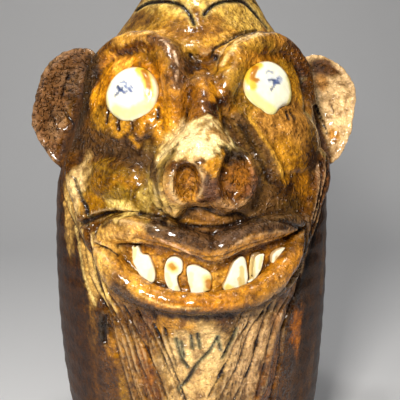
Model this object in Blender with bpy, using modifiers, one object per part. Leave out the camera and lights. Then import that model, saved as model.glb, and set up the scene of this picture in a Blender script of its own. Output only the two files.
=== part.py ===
"""Face jug.

A wheel-thrown stoneware jug, hollow, with a rolled lip and a strap handle at
the back. The face is clay laid on the front of the wall: brows, lids, a snout,
cheeks, lips, a combed beard and two cupped ears. The two eyes and the six
teeth are separate pieces of white clay, each bedded in its own socket.

The foot rests on Z = 0 with its centre at the origin, and the face looks
along -Y. Left and right are those of someone who looks at the face.
"""

import math

import bmesh
import bpy
import numpy as np
from mathutils import Matrix, Vector

# Thrown jug, in metres
HEIGHT = 0.268
FOOT_RADIUS = 0.0585
BELLY_RADIUS = 0.0703
BELLY_HEIGHT = 0.120
NECK_RADIUS = 0.0255
NECK_LENGTH = 0.008
LIP_ROLL_RADIUS = 0.0055
BORE_RADIUS = 0.0150
WALL = 0.0070
FLOOR = 0.0090

# Strap handle at the back
HANDLE_REACH = 0.097
HANDLE_TOP = 0.238
HANDLE_FOOT = 0.166
STRAP_THICKNESS = 0.0095
STRAP_WIDTH = 0.026

# Ears
EAR_THICKNESS = 0.0062
EAR_CUP_DEPTH = 0.0085
EAR_TURN = 14.0
EAR_FORWARD = 0.0060

# Eyes and teeth
EYE_WIDTH = 0.0272
EYE_HEIGHT = 0.0262
EYE_THICKNESS = 0.0100
TOOTH_THICKNESS = 0.0042
TOOTH_BEDDED = 0.0018
TOOTH_ROUNDING = 0.0007
CLEARANCE = 0.0003

# The face is free modelling: it is drawn in millimetres on a jug 268 mm tall,
# and keeps its share of the height.
DRAWN = HEIGHT / 268.0
# The axis of the thrown jug wanders: height and step to the side.
SWAY = ((0, 0), (40, -0.8), (75, -1.5), (140, -1.5), (180, -0.2), (220, 1.1), (268, 2.7))
WALL_STEPS = 168
WALL_RINGS = 120
CLAY_VOXEL = 1.35 * DRAWN
SMOOTHING_PASSES = 3
BODY_TRIANGLES = 6500
VOID_STEPS = 32
VOID_RINGS = 10
EYE_SEGMENTS = 16
BROWN_GLAZE = (0.17, 0.07, 0.015)
WHITE_CLAY = (0.85, 0.80, 0.62)

# Each row of a coil: angle from the front in degrees, height, lift of the
# centre line off the wall, radius.
COILS = {
    "brow_left": (
        (-67, 192, -1, 4.0), (-67, 206, 2.0, 5.2), (-57, 217, 3.6, 5.8), (-45, 221, 4.2, 6.2),
        (-32, 222, 4.4, 6.4), (-21, 219, 5, 6.6), (-15, 212, 6, 6.4), (-12.5, 203, 6.6, 5.8),
        (-11.5, 194, 5.0, 4.8), (-12, 184, 2.5, 4.0), (-13, 175, -1.5, 3.0),
    ),
    "brow_right": (
        (6, 188, 1, 3.4), (7.5, 196, 5, 4.6), (9, 203, 6.5, 5.4), (12.5, 211, 6, 6.2), (19, 218, 5, 6.5),
        (31, 221.5, 4.4, 6.5), (45, 221, 4.0, 6.3), (57, 215, 3.6, 6.2), (64, 205, 2.8, 5.8),
        (66, 192, 1.5, 5.0),
    ),
    "lid_left": (
        (-62, 203, 0.5, 3.5), (-56, 193, 2.0, 4.2), (-47, 185, 2.2, 4.6),
        (-36, 181, 2.2, 4.6), (-25, 183, 2.2, 4.4), (-16, 190, 2.5, 4.0), (-12, 198, 3, 3.5),
    ),
    "lid_right": (
        (10, 198, 3, 3.6), (14, 189, 2.4, 4.0), (23, 182.5, 2.2, 4.6), (35, 180, 2.2, 4.8),
        (47, 182, 2.0, 4.8), (58, 190, 1.5, 4.4), (64, 200, 1.0, 3.8),
    ),
    "nose_bridge": (
        (0.0, 204.5, 4, 5.4), (0.0, 198, 6.8, 6.4), (-0.2, 189, 9.2, 8.0), (-0.6, 179, 12.6, 10.8),
    ),
    "bridge_roll": (
        (-9, 202, 4.5, 3.0), (-4, 204.5, 6.5, 3.6), (2, 205, 6.8, 3.6), (8, 206, 5, 3.0),
    ),
    "nose_wing_left": (
        (-12, 177, 7, 5.5), (-14.5, 168, 8, 5.5), (-13.0, 158, 9, 5.5), (-6.5, 152.5, 12, 5.0),
    ),
    "cheek_fold_right": (
        (8, 194, 2, 3.5), (15, 187, 2.6, 3.6), (23, 178, 2.6, 4.0),
        (28, 168, 2.6, 4.2), (30, 157, 2.2, 4.0), (31, 147, 1.0, 3.5),
    ),
    "lip_upper": (
        (-35, 138, 6.0, 4.2), (-29, 141.5, 8, 6.2), (-22, 143, 9, 6.8), (-14, 142.5, 9.5, 6.2),
        (-7, 139.5, 10, 5.8), (0, 136, 10.5, 5.5), (3.5, 134.8, 10.5, 5.4), (8, 137.5, 10.5, 5.8),
        (15, 141, 10, 6.2), (23, 142.5, 9.5, 6.0), (30, 143, 8.5, 5.2), (36.5, 142, 6.5, 3.8),
    ),
    "lip_lower": (
        (-35, 137, 7, 3.8), (-33, 132, 8.5, 5.6), (-30, 124.5, 9.5, 6.6), (-24, 118, 10.5, 6.3),
        (-16, 113.6, 11, 5.7), (-8, 111.5, 11.5, 5.2), (0, 110.8, 11.5, 5.0), (8, 111.6, 11.5, 5.2),
        (15, 113.2, 11, 5.6), (22, 117.6, 10.5, 6.0), (28.5, 124.6, 9.5, 5.8), (33.5, 132.5, 8, 4.8),
        (36.5, 139.5, 6, 3.4),
    ),
}

# Each ball: angle, height, lift of its centre, half sizes across, out and up.
BALLS = {
    "nose_tip": (-0.9, 169.5, 9.0, 19.0, 19.5, 17.0),
    "nostril_left": (-8.3, 165.0, 14.0, 11.0, 12.5, 13.0),
    "nostril_right": (7.4, 165.5, 13.5, 13.0, 13.0, 14.5),
    "cheek_left": (-33.0, 160.0, -1.5, 17.0, 8.0, 12.5),
    "cheek_right": (44.0, 172.0, -3.0, 20.0, 8.5, 24.0),
    "chin": (-1.0, 101.0, 0.5, 20.0, 7.5, 9.0),
}

# Each low pad of clay: its lift, the width of its soft edge, and its outline as
# angle and height.
PADS = {
    "face": (3.2, 5.0, ((-68, 210), (-52, 223), (-30, 226), (-14, 220), (0, 205), (14, 219),
                        (30, 225), (52, 223), (69, 210), (70, 190), (66, 165), (52, 140),
                        (40, 118), (20, 104), (-20, 104), (-38, 120), (-50, 142), (-64, 166),
                        (-70, 190))),
    "eye_bed_left": (3.0, 5.0, ((-54, 206), (-44, 217), (-30, 219), (-18, 210), (-14, 198),
                                (-22, 187), (-36, 184), (-49, 190))),
    "eye_bed_right": (3.0, 5.0, ((12, 203), (20, 216), (34, 220), (48, 217), (55, 206),
                                 (50, 189), (36, 185), (20, 188))),
    "muzzle": (3.4, 7.0, ((-22, 160), (0, 158), (26, 160), (34, 150), (36, 138), (30, 122),
                          (16, 110), (-14, 109), (-30, 121), (-36, 136), (-32, 148))),
    "beard": (2.8, 3.0, ((-66, 168), (-54, 152), (-44, 128), (-36, 104), (-31, 78), (-26, 52),
                         (-20, 34), (-8, 24), (4, 22), (15, 28), (22, 42), (27, 60), (31, 84),
                         (37, 108), (44, 130), (56, 150), (66, 164), (60, 172), (44, 150),
                         (34, 132), (20, 112), (-18, 111), (-34, 128), (-46, 150), (-60, 172))),
}

# Each groove: depth, half width, and its path as angle and height.
GROOVES = {
    "brow_pit": (4.0, 5.5, ((-7, 216), (-2.5, 214), (3, 213.5), (7, 215))),
    "forehead_arc_left": (1.6, 1.5, ((-70, 236), (-56, 241), (-40, 242), (-26, 241), (-15, 238),
                                     (-6.4, 230))),
    "forehead_arc_right": (1.6, 1.5, ((1.7, 234), (12, 241), (26, 242), (40, 241), (52, 237),
                                      (60, 227))),
    "cheek_crack_left": (4.0, 2.0, ((-48, 140), (-40, 145), (-31, 148), (-21, 148.5), (-12, 146.5))),
    "mouth_corner_left": (3.5, 1.6, ((-35, 134.5), (-31, 133), (-28, 130))),
    "mouth_corner_right": (3.5, 1.6, ((30, 137.5), (34, 139), (38, 141))),
    "nose_side_right": (2.6, 3.2, ((7, 189), (13, 181), (18.5, 171), (20, 160), (17, 151))),
    "lip_shadow_right": (4.5, 2.4, ((40, 143), (41, 134), (38, 124), (32, 115))),
}

# Each dent: angle, height, depth, half sizes across and up.
DENTS = {
    "nostril_left": (-5.2, 165.3, 8.5, 6.2, 8.6),
    "nostril_right": (7.6, 166.5, 9.5, 8.2, 11.6),
}

# Beard locks run from the jaw to the point of the beard: angle and height at
# the start, middle and end of the first and last lock on each side.
LOCKS_LEFT = (((-52, 150), (-40, 106), (-27, 54)), ((-17, 105), (-14, 84), (-7, 32)))
LOCKS_RIGHT = (((45, 140), (35, 104), (24, 50)), ((15, 105), (9, 84), (2, 34)))
LOCKS_PER_SIDE = 5
LOCK_DEPTH = 2.0
LOCK_HALF_WIDTH = 2.5

# Each eye: angle, height, lift of its centre, turn to the side, tilt up.
EYES = {
    "eye_left": (-31.7, 199.0, 4.6, -26.0, 14.0),
    "eye_right": (29.4, 201.5, 4.6, 23.0, 14.0),
}

# Each tooth: angle and height of its centre, then its outline as steps across
# and up from that centre.
TEETH = {
    "tooth_1": (-18.4, 127.5, ((-5.6, 7.0), (-4.4, 8.2), (-2.9, 6.6), (-1.8, 4.0), (1.2, 3.4),
                               (2.8, 0.6), (4.4, -4.4), (4.0, -8.0), (1.6, -8.6), (-2.2, -6.0),
                               (-5.4, -0.8), (-6.2, 3.2))),
    "tooth_2": (-9.4, 123.2, ((-3.6, 4.2), (-1.4, 7.2), (2.0, 7.4), (4.2, 5.2), (3.8, 0.8),
                              (1.9, -1.4), (2.4, -5.4), (3.4, -8.6), (1.4, -9.8), (-1.6, -7.2),
                              (-3.8, -2.2))),
    "tooth_3": (-0.8, 120.2, ((-5.8, 5.4), (-3.0, 7.0), (0.6, 6.0), (4.2, 3.4), (5.0, 0.2),
                              (4.6, -4.0), (2.0, -5.2), (-0.6, -7.4), (-3.2, -7.2),
                              (-5.0, -1.4))),
    "tooth_4": (11.3, 121.2, ((-0.8, 7.6), (2.2, 9.0), (4.0, 6.4), (4.8, 0.4), (3.8, -4.8),
                              (-1.4, -6.8), (-5.2, -6.0), (-6.4, -4.0), (-4.2, 0.6),
                              (-2.8, 4.4))),
    "tooth_5": (18.1, 125.2, ((-1.8, 5.4), (1.0, 6.8), (3.8, 6.0), (3.2, 0.6), (1.4, -3.6),
                              (-1.4, -6.8), (-3.2, -7.0), (-3.4, -1.6), (-2.9, 3.0))),
    "tooth_6": (27.4, 128.0, ((-5.0, 1.0), (-2.6, 3.2), (1.6, 4.2), (5.2, 4.6), (5.4, 1.8),
                              (1.8, -1.2), (-2.2, -3.8), (-4.4, -4.4))),
}

# Each ear: the side it is on, the height and the distance from the axis of its
# middle, and its outline as steps outwards and up from that middle.
EARS = {
    "ear_left": (-1, 192.0, 58.0, ((23.3, -4.8), (21.0, -15.5), (14.6, -24.8), (6.0, -31.0),
                                   (-8.0, -25.0), (-13.0, 0.0), (-11.0, 23.0), (-2.0, 28.4),
                                   (9.0, 25.0), (18.3, 14.8))),
    "ear_right": (1, 190.0, 60.0, ((20.7, -3.0), (19.8, -11.3), (17.2, -19.5), (12.0, -27.0),
                                   (0.0, -30.0), (-12.0, -18.0), (-14.0, 4.0), (-12.0, 22.0),
                                   (-3.0, 27.2), (9.0, 23.2), (18.0, 15.0), (21.3, 7.0))),
}


def smooth_path(stations, per_span=6):
    """Points of a smooth curve through the stations; every column is blended alike."""
    rows = np.array(stations, dtype=float)
    padded = np.vstack([2 * rows[0] - rows[1], rows, 2 * rows[-1] - rows[-2]])
    points = []
    for i in range(1, len(padded) - 2):
        before, start, end, after = padded[i - 1 : i + 3]
        for step in range(per_span):
            t = step / per_span
            points.append(
                0.5
                * (
                    2 * start
                    + (end - before) * t
                    + (2 * before - 5 * start + 4 * end - after) * t**2
                    + (3 * start - before - 3 * end + after) * t**3
                )
            )
    points.append(rows[-1])
    return np.array(points)


def closed_path(stations, per_span=3):
    """Points of a smooth closed curve through the stations."""
    rows = list(stations)
    wrapped = [rows[-1], *rows, rows[0], rows[1]]
    points = smooth_path(wrapped, per_span)
    return points[per_span : per_span * (len(rows) + 1)]


def shoulder_stations():
    """Height and radius of the wall from the belly up to the neck."""
    rise = HEIGHT - 2 * LIP_ROLL_RADIUS - NECK_LENGTH - BELLY_HEIGHT
    swell = BELLY_RADIUS - NECK_RADIUS
    shares = (
        (0.0, 1.0), (0.23, 0.982), (0.35, 0.915), (0.465, 0.804), (0.58, 0.692),
        (0.698, 0.569), (0.783, 0.424), (0.868, 0.238), (0.953, 0.085), (1.0, 0.015),
    )
    return [(BELLY_HEIGHT + up * rise, NECK_RADIUS + out * swell) for up, out in shares]


SHOULDER = smooth_path(shoulder_stations())


def wall_radius(height):
    """Outer radius of the thrown wall at a height, without the lip."""
    height = np.asarray(height, dtype=float)
    below = np.clip(1 - height / BELLY_HEIGHT, 0, 1)
    belly = BELLY_RADIUS - (BELLY_RADIUS - FOOT_RADIUS) * below**2.3
    shoulder = np.interp(height, SHOULDER[:, 0], SHOULDER[:, 1])
    neck = np.where(height > SHOULDER[-1, 0], NECK_RADIUS, shoulder)
    return np.where(height < BELLY_HEIGHT, belly, neck)


def sway(height):
    """Step to the side of the jug's axis at a height; the foot stands true."""
    axis = smooth_path(SWAY) * DRAWN
    return np.interp(height, axis[:, 0], axis[:, 1])


def on_wall(angle, height, lift=0.0):
    """Points at an angle from the front and a height, lifted off the wall, in metres."""
    turn = np.radians(angle)
    up = np.asarray(height, dtype=float) * DRAWN
    out = wall_radius(up) + np.asarray(lift, dtype=float) * DRAWN
    return np.stack([out * np.sin(turn), -out * np.cos(turn), up + 0 * out], axis=-1)


def path_distance(points, path):
    """Distance of each point to a path in space."""
    nearest = np.full(len(points), np.inf)
    for start, end in zip(path[:-1], path[1:]):
        span = end - start
        along = np.clip((points - start) @ span / (span @ span), 0, 1)
        nearest = np.minimum(nearest, np.linalg.norm(points - start - along[:, None] * span, axis=1))
    return nearest


def outline_depth(across, up, outline):
    """Distance inside an outline on the unrolled wall; negative outside it."""
    corners = closed_path(outline)
    corners = np.column_stack([np.radians(corners[:, 0]) * BELLY_RADIUS, corners[:, 1] * DRAWN])
    nearest = np.full(len(across), np.inf)
    inside = np.zeros(len(across), dtype=bool)
    for (x0, y0), (x1, y1) in zip(corners, np.roll(corners, -1, axis=0)):
        dx = x1 - x0
        dy = y1 - y0
        along = np.clip(((across - x0) * dx + (up - y0) * dy) / (dx * dx + dy * dy), 0, 1)
        nearest = np.minimum(nearest, np.hypot(across - x0 - along * dx, up - y0 - along * dy))
        crosses = (y0 > up) != (y1 > up)
        if dy:
            inside ^= crosses & (across < x0 + (up - y0) * dx / dy)
    return np.where(inside, nearest, -nearest)


def soft_step(value):
    """Smooth rise from 0 to 1 as the value goes from 0 to 1."""
    value = np.clip(value, 0, 1)
    return value * value * (3 - 2 * value)


def mesh_points(mesh):
    """All vertex places of a mesh as an array."""
    flat = np.empty(len(mesh.vertices) * 3)
    mesh.vertices.foreach_get("co", flat)
    return flat.reshape(-1, 3)


def set_mesh_points(mesh, points):
    """Moves the vertices of a mesh to the given places."""
    mesh.vertices.foreach_set("co", points.ravel())
    mesh.update()


def new_object(name, mesh, collection):
    """Object with the given mesh, linked to the collection."""
    made = bpy.data.objects.new(name, mesh)
    collection.objects.link(made)
    return made


def settled(source):
    """New mesh of an object with its modifiers applied."""
    graph = bpy.context.evaluated_depsgraph_get()
    return bpy.data.meshes.new_from_object(source.evaluated_get(graph))


def closed_mesh(source):
    """Settled mesh of a curve with its caps joined on; the source goes."""
    mesh = settled(source)
    work = bmesh.new()
    work.from_mesh(mesh)
    bmesh.ops.remove_doubles(work, verts=work.verts, dist=0.00001)
    bmesh.ops.recalc_face_normals(work, faces=work.faces)
    work.to_mesh(mesh)
    work.free()
    bpy.data.objects.remove(source)
    return mesh


def turned(name, outline, steps, collection):
    """Closed turned solid; the outline runs down its outer side, top to bottom."""
    mesh = bpy.data.meshes.new(name)
    edges = [(i, i + 1) for i in range(len(outline) - 1)]
    mesh.from_pydata([(radius, 0, up) for radius, up in outline], edges, [])
    made = new_object(name, mesh, collection)
    screw = made.modifiers.new("Turn", "SCREW")
    screw.axis = "Z"
    screw.steps = steps
    screw.render_steps = steps
    screw.use_merge_vertices = True
    screw.merge_threshold = 0.00001
    bpy.context.view_layer.update()
    mesh = settled(made)
    bpy.data.objects.remove(made)
    return new_object(name, mesh, collection)


def lip_outline(radius, roll, top, steps=6):
    """Half round of the rolled lip, from its crown down to where it meets the neck."""
    centre = top - roll
    arc = [math.radians(90 - 155 * i / steps) for i in range(steps + 1)]
    return [(radius + roll * math.cos(a), centre + roll * math.sin(a)) for a in arc]


def thrown_wall(collection):
    """The jug as thrown, still solid, with its low pads of clay."""
    lip = lip_outline(NECK_RADIUS - 0.25 * LIP_ROLL_RADIUS, LIP_ROLL_RADIUS, HEIGHT)
    neck_top = lip[-1][1]
    outline = [(0, HEIGHT), (BORE_RADIUS, HEIGHT), *lip]
    for ring in range(1, WALL_RINGS + 1):
        up = neck_top * (1 - ring / WALL_RINGS)
        outline.append((float(wall_radius(up)), up))
    below = -4 * CLAY_VOXEL
    outline += [(FOOT_RADIUS, below), (0, below)]
    wall = turned("wall", outline, WALL_STEPS, collection)
    points = mesh_points(wall.data)
    angle = np.arctan2(points[:, 0], -points[:, 1])
    radius = np.hypot(points[:, 0], points[:, 1])
    lift = np.zeros(len(points))
    for rise, edge, pad in PADS.values():
        depth = outline_depth(angle * BELLY_RADIUS, points[:, 2], pad)
        lift += rise * DRAWN * soft_step(0.5 + depth / (edge * DRAWN))
    outer = (radius > wall_radius(points[:, 2]) - 0.0001) & (points[:, 2] < neck_top)
    scale = np.where(outer, 1 + lift / np.maximum(radius, 0.001), 1)
    points[:, 0] *= scale
    points[:, 1] *= scale
    set_mesh_points(wall.data, points)
    return wall


def coil(name, stations, collection, spread=1.0):
    """A coil of clay laid on the wall, thicker and thinner along its length."""
    path = smooth_path(stations, 4)
    places = on_wall(path[:, 0], path[:, 1], path[:, 2])
    return tube(name, places, path[:, 3] * DRAWN, collection, spread)


def tube(name, places, radii, collection, spread=1.0):
    """Closed round tube through the places, widened across the jug by a factor."""
    curve = bpy.data.curves.new(name, "CURVE")
    curve.dimensions = "3D"
    curve.bevel_depth = 1.0
    curve.bevel_resolution = 3
    curve.use_fill_caps = True
    spline = curve.splines.new("POLY")
    spline.points.add(len(places) - 1)
    for point, place, radius in zip(spline.points, places, radii):
        point.co = (*place, 1)
        point.radius = radius
    mesh = closed_mesh(new_object(name, curve, collection))
    points = mesh_points(mesh)
    points[:, 0] *= spread
    set_mesh_points(mesh, points)
    return new_object(name, mesh, collection)


def ball(name, place, half_sizes, frame, collection, segments=32):
    """Ellipsoid at a place, its three half sizes along the columns of a frame."""
    work = bmesh.new()
    bmesh.ops.create_uvsphere(work, u_segments=segments, v_segments=segments // 2, radius=1)
    turn = frame.to_4x4() @ Matrix.Diagonal((*half_sizes, 1))
    work.transform(Matrix.Translation(place) @ turn)
    mesh = bpy.data.meshes.new(name)
    work.to_mesh(mesh)
    work.free()
    return new_object(name, mesh, collection)


def facing(turn, tilt=0.0):
    """Frame whose columns point across, into the wall and up, at an angle from the front."""
    side = math.radians(turn)
    rise = math.radians(tilt)
    across = Vector((math.cos(side), math.sin(side), 0))
    inward = Vector((-math.sin(side) * math.cos(rise), math.cos(side) * math.cos(rise), -math.sin(rise)))
    return Matrix((across, inward, across.cross(inward))).transposed()


def handle(collection):
    """Strap handle, from the neck out and down to the shoulder at the back."""
    top_radius = float(wall_radius(HANDLE_TOP))
    foot_radius = float(wall_radius(HANDLE_FOOT))
    drop = HANDLE_TOP - HANDLE_FOOT
    reach = HANDLE_REACH - STRAP_THICKNESS / 2
    stations = (
        (top_radius - 0.6 * STRAP_THICKNESS, HANDLE_TOP, 1.15),
        (top_radius + 0.30 * (reach - top_radius), HANDLE_TOP + 0.06 * drop, 1.0),
        (top_radius + 0.72 * (reach - top_radius), HANDLE_TOP - 0.02 * drop, 0.95),
        (reach, HANDLE_TOP - 0.30 * drop, 0.9),
        (reach - 0.03 * drop, HANDLE_TOP - 0.62 * drop, 0.9),
        (foot_radius + 0.45 * (reach - foot_radius), HANDLE_FOOT + 0.12 * drop, 0.95),
        (foot_radius - 0.7 * STRAP_THICKNESS, HANDLE_FOOT, 1.2),
    )
    path = smooth_path(stations, 5)
    places = np.column_stack([np.zeros(len(path)), path[:, 0], path[:, 1]])
    radii = path[:, 2] * STRAP_THICKNESS / 2
    return tube("handle", places, radii, collection, STRAP_WIDTH / STRAP_THICKNESS)


def ear(name, side, height, out, outline, collection):
    """Cupped ear: a flat oval pressed hollow, with a round rim, hollow side forward."""
    made = ball(name, Vector((0, 0, 0)), (1, 1, 1), Matrix.Identity(3), collection, 40)
    points = mesh_points(made.data)
    rim = closed_path(outline) * DRAWN
    bearing = np.arctan2(rim[:, 1], rim[:, 0])
    order = np.argsort(bearing)
    reach = np.hypot(rim[:, 0], rim[:, 1])[order]
    share = np.hypot(points[:, 0], points[:, 2])
    heading = np.arctan2(points[:, 2], points[:, 0])
    edge = np.interp(heading, bearing[order], reach, period=2 * math.pi)
    across = np.cos(heading) * edge * share
    up = np.sin(heading) * edge * share
    plump = np.minimum(np.sqrt(np.maximum(1 - share**2, 0)) * 2.2, 1) * (0.75 + 0.45 * share**2)
    deep = np.sign(points[:, 1]) * plump * EAR_THICKNESS / 2
    deep += EAR_CUP_DEPTH * (0.9 - 1.6 * share**2)
    turn = math.radians(EAR_TURN)
    points[:, 0] = side * (out * DRAWN + across * math.cos(turn) - deep * math.sin(turn))
    points[:, 1] = across * math.sin(turn) + deep * math.cos(turn) - EAR_FORWARD
    points[:, 2] = height * DRAWN + up
    if side < 0:
        made.data.flip_normals()
    set_mesh_points(made.data, points)
    return made


def pressed_together(pieces, collection):
    """One skin of clay over all the pieces, smoothed as by wet fingers."""
    work = bmesh.new()
    for piece in pieces:
        work.from_mesh(piece.data)
        bpy.data.objects.remove(piece)
    mesh = bpy.data.meshes.new("clay")
    work.to_mesh(mesh)
    work.free()
    clay = new_object("jug_body", mesh, collection)
    remesh = clay.modifiers.new("Press", "REMESH")
    remesh.mode = "VOXEL"
    remesh.voxel_size = CLAY_VOXEL
    smooth = clay.modifiers.new("Smooth", "SMOOTH")
    smooth.factor = 0.5
    smooth.iterations = SMOOTHING_PASSES
    bpy.context.view_layer.update()
    clay.data = settled(clay)
    clay.modifiers.clear()
    return clay


def lock_paths():
    """Paths of the beard's locks, blended from the first lock to the last on each side."""
    paths = []
    for first, last in (LOCKS_LEFT, LOCKS_RIGHT):
        for i in range(LOCKS_PER_SIDE):
            share = i / (LOCKS_PER_SIDE - 1)
            path = (1 - share) * np.array(first, dtype=float) + share * np.array(last, dtype=float)
            paths.append(smooth_path(path, 5))
    return paths


def carve(clay):
    """Grooves, dents and beard locks cut into the skin of clay."""
    points = mesh_points(clay.data)
    radius = np.hypot(points[:, 0], points[:, 1])
    outward = points * (1, 1, 0) / np.maximum(radius, 0.001)[:, None]
    angle = np.degrees(np.arctan2(points[:, 0], -points[:, 1]))
    foot = on_wall(angle, points[:, 2] / DRAWN)
    cut = np.zeros(len(points))
    cuts = [(depth, half, smooth_path(path)) for depth, half, path in GROOVES.values()]
    cuts += [(LOCK_DEPTH, LOCK_HALF_WIDTH, path) for path in lock_paths()]
    near = (np.abs(angle) < 80) & (radius > wall_radius(points[:, 2]) - 0.001)
    for depth, half, path in cuts:
        away = path_distance(foot[near], on_wall(path[:, 0], path[:, 1])) / (half * DRAWN)
        cut[near] = np.maximum(cut[near], depth * DRAWN * soft_step(1 - away))
    for side, height, depth, half_across, half_up in DENTS.values():
        across = np.radians(angle - side) * radius / (half_across * DRAWN)
        up = (points[:, 2] / DRAWN - height) / half_up
        away = np.hypot(across, up)
        cut += np.where(near, depth * DRAWN * soft_step(1.15 - away), 0)
    set_mesh_points(clay.data, points - outward * cut[:, None])


def thinned(clay):
    """Fewer faces: wide apart on the bare wall, close on the face, ears, handle and lip."""
    points = mesh_points(clay.data)
    radius = np.hypot(points[:, 0], points[:, 1])
    angle = np.degrees(np.arctan2(points[:, 0], -points[:, 1]))
    face = (np.abs(angle) < 72) & (points[:, 2] > 30 * DRAWN) & (points[:, 2] < 232 * DRAWN)
    worked = (radius > wall_radius(points[:, 2]) + 0.0015) | (points[:, 2] > 244 * DRAWN)
    group = clay.vertex_groups.new(name="plain")
    for chosen, weight in ((~worked, 0.85), (worked & ~face, 0.65), (worked & face, 0.55)):
        group.add([int(i) for i in np.flatnonzero(chosen)], weight, "REPLACE")
    thin = clay.modifiers.new("Thin", "DECIMATE")
    thin.ratio = BODY_TRIANGLES / (2 * len(clay.data.polygons))
    thin.vertex_group = group.name
    thin.vertex_group_factor = 1.0
    bpy.context.view_layer.update()
    clay.data = settled(clay)
    clay.modifiers.clear()
    clay.vertex_groups.clear()


def void(collection):
    """The hollow of the jug: the wall's own line, one wall thickness in, and the bore."""
    neck = HEIGHT - 2 * LIP_ROLL_RADIUS - NECK_LENGTH
    outline = [(0, HEIGHT + WALL), (BORE_RADIUS, HEIGHT + WALL), (BORE_RADIUS, HEIGHT - WALL)]
    for ring in range(VOID_RINGS + 1):
        up = neck + (FLOOR - neck) * ring / VOID_RINGS
        outline.append((max(float(wall_radius(up)) - WALL, BORE_RADIUS), up))
    outline.append((0, FLOOR))
    return turned("void", outline, VOID_STEPS, collection)


def foot_cut(collection):
    """Block below the foot, so that the jug stands on a flat face."""
    work = bmesh.new()
    side = 3 * FOOT_RADIUS
    bmesh.ops.create_cube(work, size=side, matrix=Matrix.Translation((0, 0, -side / 2)))
    mesh = bpy.data.meshes.new("foot_cut")
    work.to_mesh(mesh)
    work.free()
    return new_object("foot_cut", mesh, collection)


def eye(name, growth, collection):
    """Pressed pellet of white clay, or with growth the socket that holds it."""
    angle, height, lift, turn, tilt = EYES[name]
    place = Vector(on_wall(angle, height, lift))
    half_sizes = (EYE_WIDTH / 2 + growth, EYE_THICKNESS / 2 + growth, EYE_HEIGHT / 2 + growth)
    return ball(name, place, half_sizes, facing(turn, tilt), collection, EYE_SEGMENTS)


def grown_outline(outline, growth):
    """Closed outline moved outwards by a distance."""
    ahead = np.roll(outline, -1, axis=0) - np.roll(outline, 1, axis=0)
    ahead /= np.linalg.norm(ahead, axis=1)[:, None]
    area = np.sum(outline[:, 0] * np.roll(outline[:, 1], -1) - outline[:, 1] * np.roll(outline[:, 0], -1))
    out = np.column_stack([ahead[:, 1], -ahead[:, 0]]) * math.copysign(1, area)
    return outline + out * growth


def tooth(name, growth, collection):
    """Flat chip of white clay with eased edges, or with growth its socket."""
    angle, height, steps = TEETH[name]
    outline = grown_outline(closed_path(steps, 2) * DRAWN, growth)
    curve = bpy.data.curves.new(name, "CURVE")
    curve.dimensions = "2D"
    curve.fill_mode = "BOTH"
    curve.extrude = TOOTH_THICKNESS / 2 + growth
    spline = curve.splines.new("POLY")
    spline.points.add(len(outline) - 1)
    for point, (across, up) in zip(spline.points, outline):
        point.co = (across, up, 0, 1)
    spline.use_cyclic_u = True
    mesh = closed_mesh(new_object(name, curve, collection))
    bed = PADS["face"][0] + PADS["muzzle"][0]
    lift = bed + (TOOTH_THICKNESS / 2 - TOOTH_BEDDED) / DRAWN
    place = Matrix.Translation(on_wall(angle, height, lift))
    frame = facing(angle).to_4x4()
    mesh.transform(place @ frame @ Matrix.Rotation(math.radians(90), 4, "X"))
    made = new_object(name, mesh, collection)
    if not growth:
        ease = made.modifiers.new("Ease", "BEVEL")
        ease.width = TOOTH_ROUNDING
        ease.segments = 1
        ease.limit_method = "ANGLE"
        ease.angle_limit = math.radians(50)
        bpy.context.view_layer.update()
        made.data = settled(made)
        made.modifiers.clear()
    return made


def swayed(made):
    """Moves an object's mesh sideways with the jug's axis."""
    points = mesh_points(made.data)
    points[:, 0] += sway(points[:, 2])
    set_mesh_points(made.data, points)
    return made


def cut_away(body, cutter):
    """Takes the cutter's solid out of the body."""
    swayed(cutter)
    cutter.hide_render = True
    cutter.display_type = "WIRE"
    cut = body.modifiers.new(cutter.name, "BOOLEAN")
    cut.operation = "DIFFERENCE"
    cut.solver = "EXACT"
    cut.object = cutter


def finish(made, name, colour, roughness):
    """Own material, smooth shading and name of a finished piece."""
    made.name = name
    made.data.name = name
    material = bpy.data.materials.new(name)
    material.use_nodes = True
    shader = material.node_tree.nodes["Principled BSDF"]
    shader.inputs["Base Color"].default_value = (*colour, 1)
    shader.inputs["Roughness"].default_value = roughness
    shader.inputs["Metallic"].default_value = 0.0
    made.data.materials.clear()
    made.data.materials.append(material)
    made.data.shade_smooth()
    made.data.set_sharp_from_angle(angle=math.radians(50))


def build():
    """The whole jug with its eyes and teeth."""
    for old in list(bpy.data.objects):
        bpy.data.objects.remove(old)
    parts = bpy.data.collections.new("face_jug")
    cutters = bpy.data.collections.new("cutters")
    bpy.context.scene.collection.children.link(parts)
    bpy.context.scene.collection.children.link(cutters)

    pieces = [thrown_wall(parts), handle(parts)]
    pieces += [coil(name, stations, parts) for name, stations in COILS.items()]
    for name, (angle, height, lift, *half_sizes) in BALLS.items():
        place = Vector(on_wall(angle, height, lift))
        pieces.append(ball(name, place, [h * DRAWN for h in half_sizes], facing(angle), parts))
    pieces += [ear(name, *sizes, parts) for name, sizes in EARS.items()]
    body = pressed_together(pieces, parts)
    carve(body)
    thinned(body)
    swayed(body)

    cut_away(body, foot_cut(cutters))
    cut_away(body, void(cutters))
    finish(body, "jug_body", BROWN_GLAZE, 0.2)
    for shape, names in ((eye, EYES), (tooth, TEETH)):
        for name in names:
            socket = shape(name, CLEARANCE, cutters)
            socket.name = f"{name}_socket"
            cut_away(body, socket)
            finish(swayed(shape(name, 0, parts)), name, WHITE_CLAY, 0.25)


build()
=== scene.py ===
"""Face jug: the dressed model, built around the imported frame.

The jug's form is made from the same lines as its solids, at a finer grain:
a spun wall, coils and balls of clay, cupped ears and a strap handle are pressed
into one skin, which is then combed, incised and glazed. Lengths in the tables
are millimetres, angles are degrees from the front, and the face looks along -Y.
"""

import math

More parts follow.
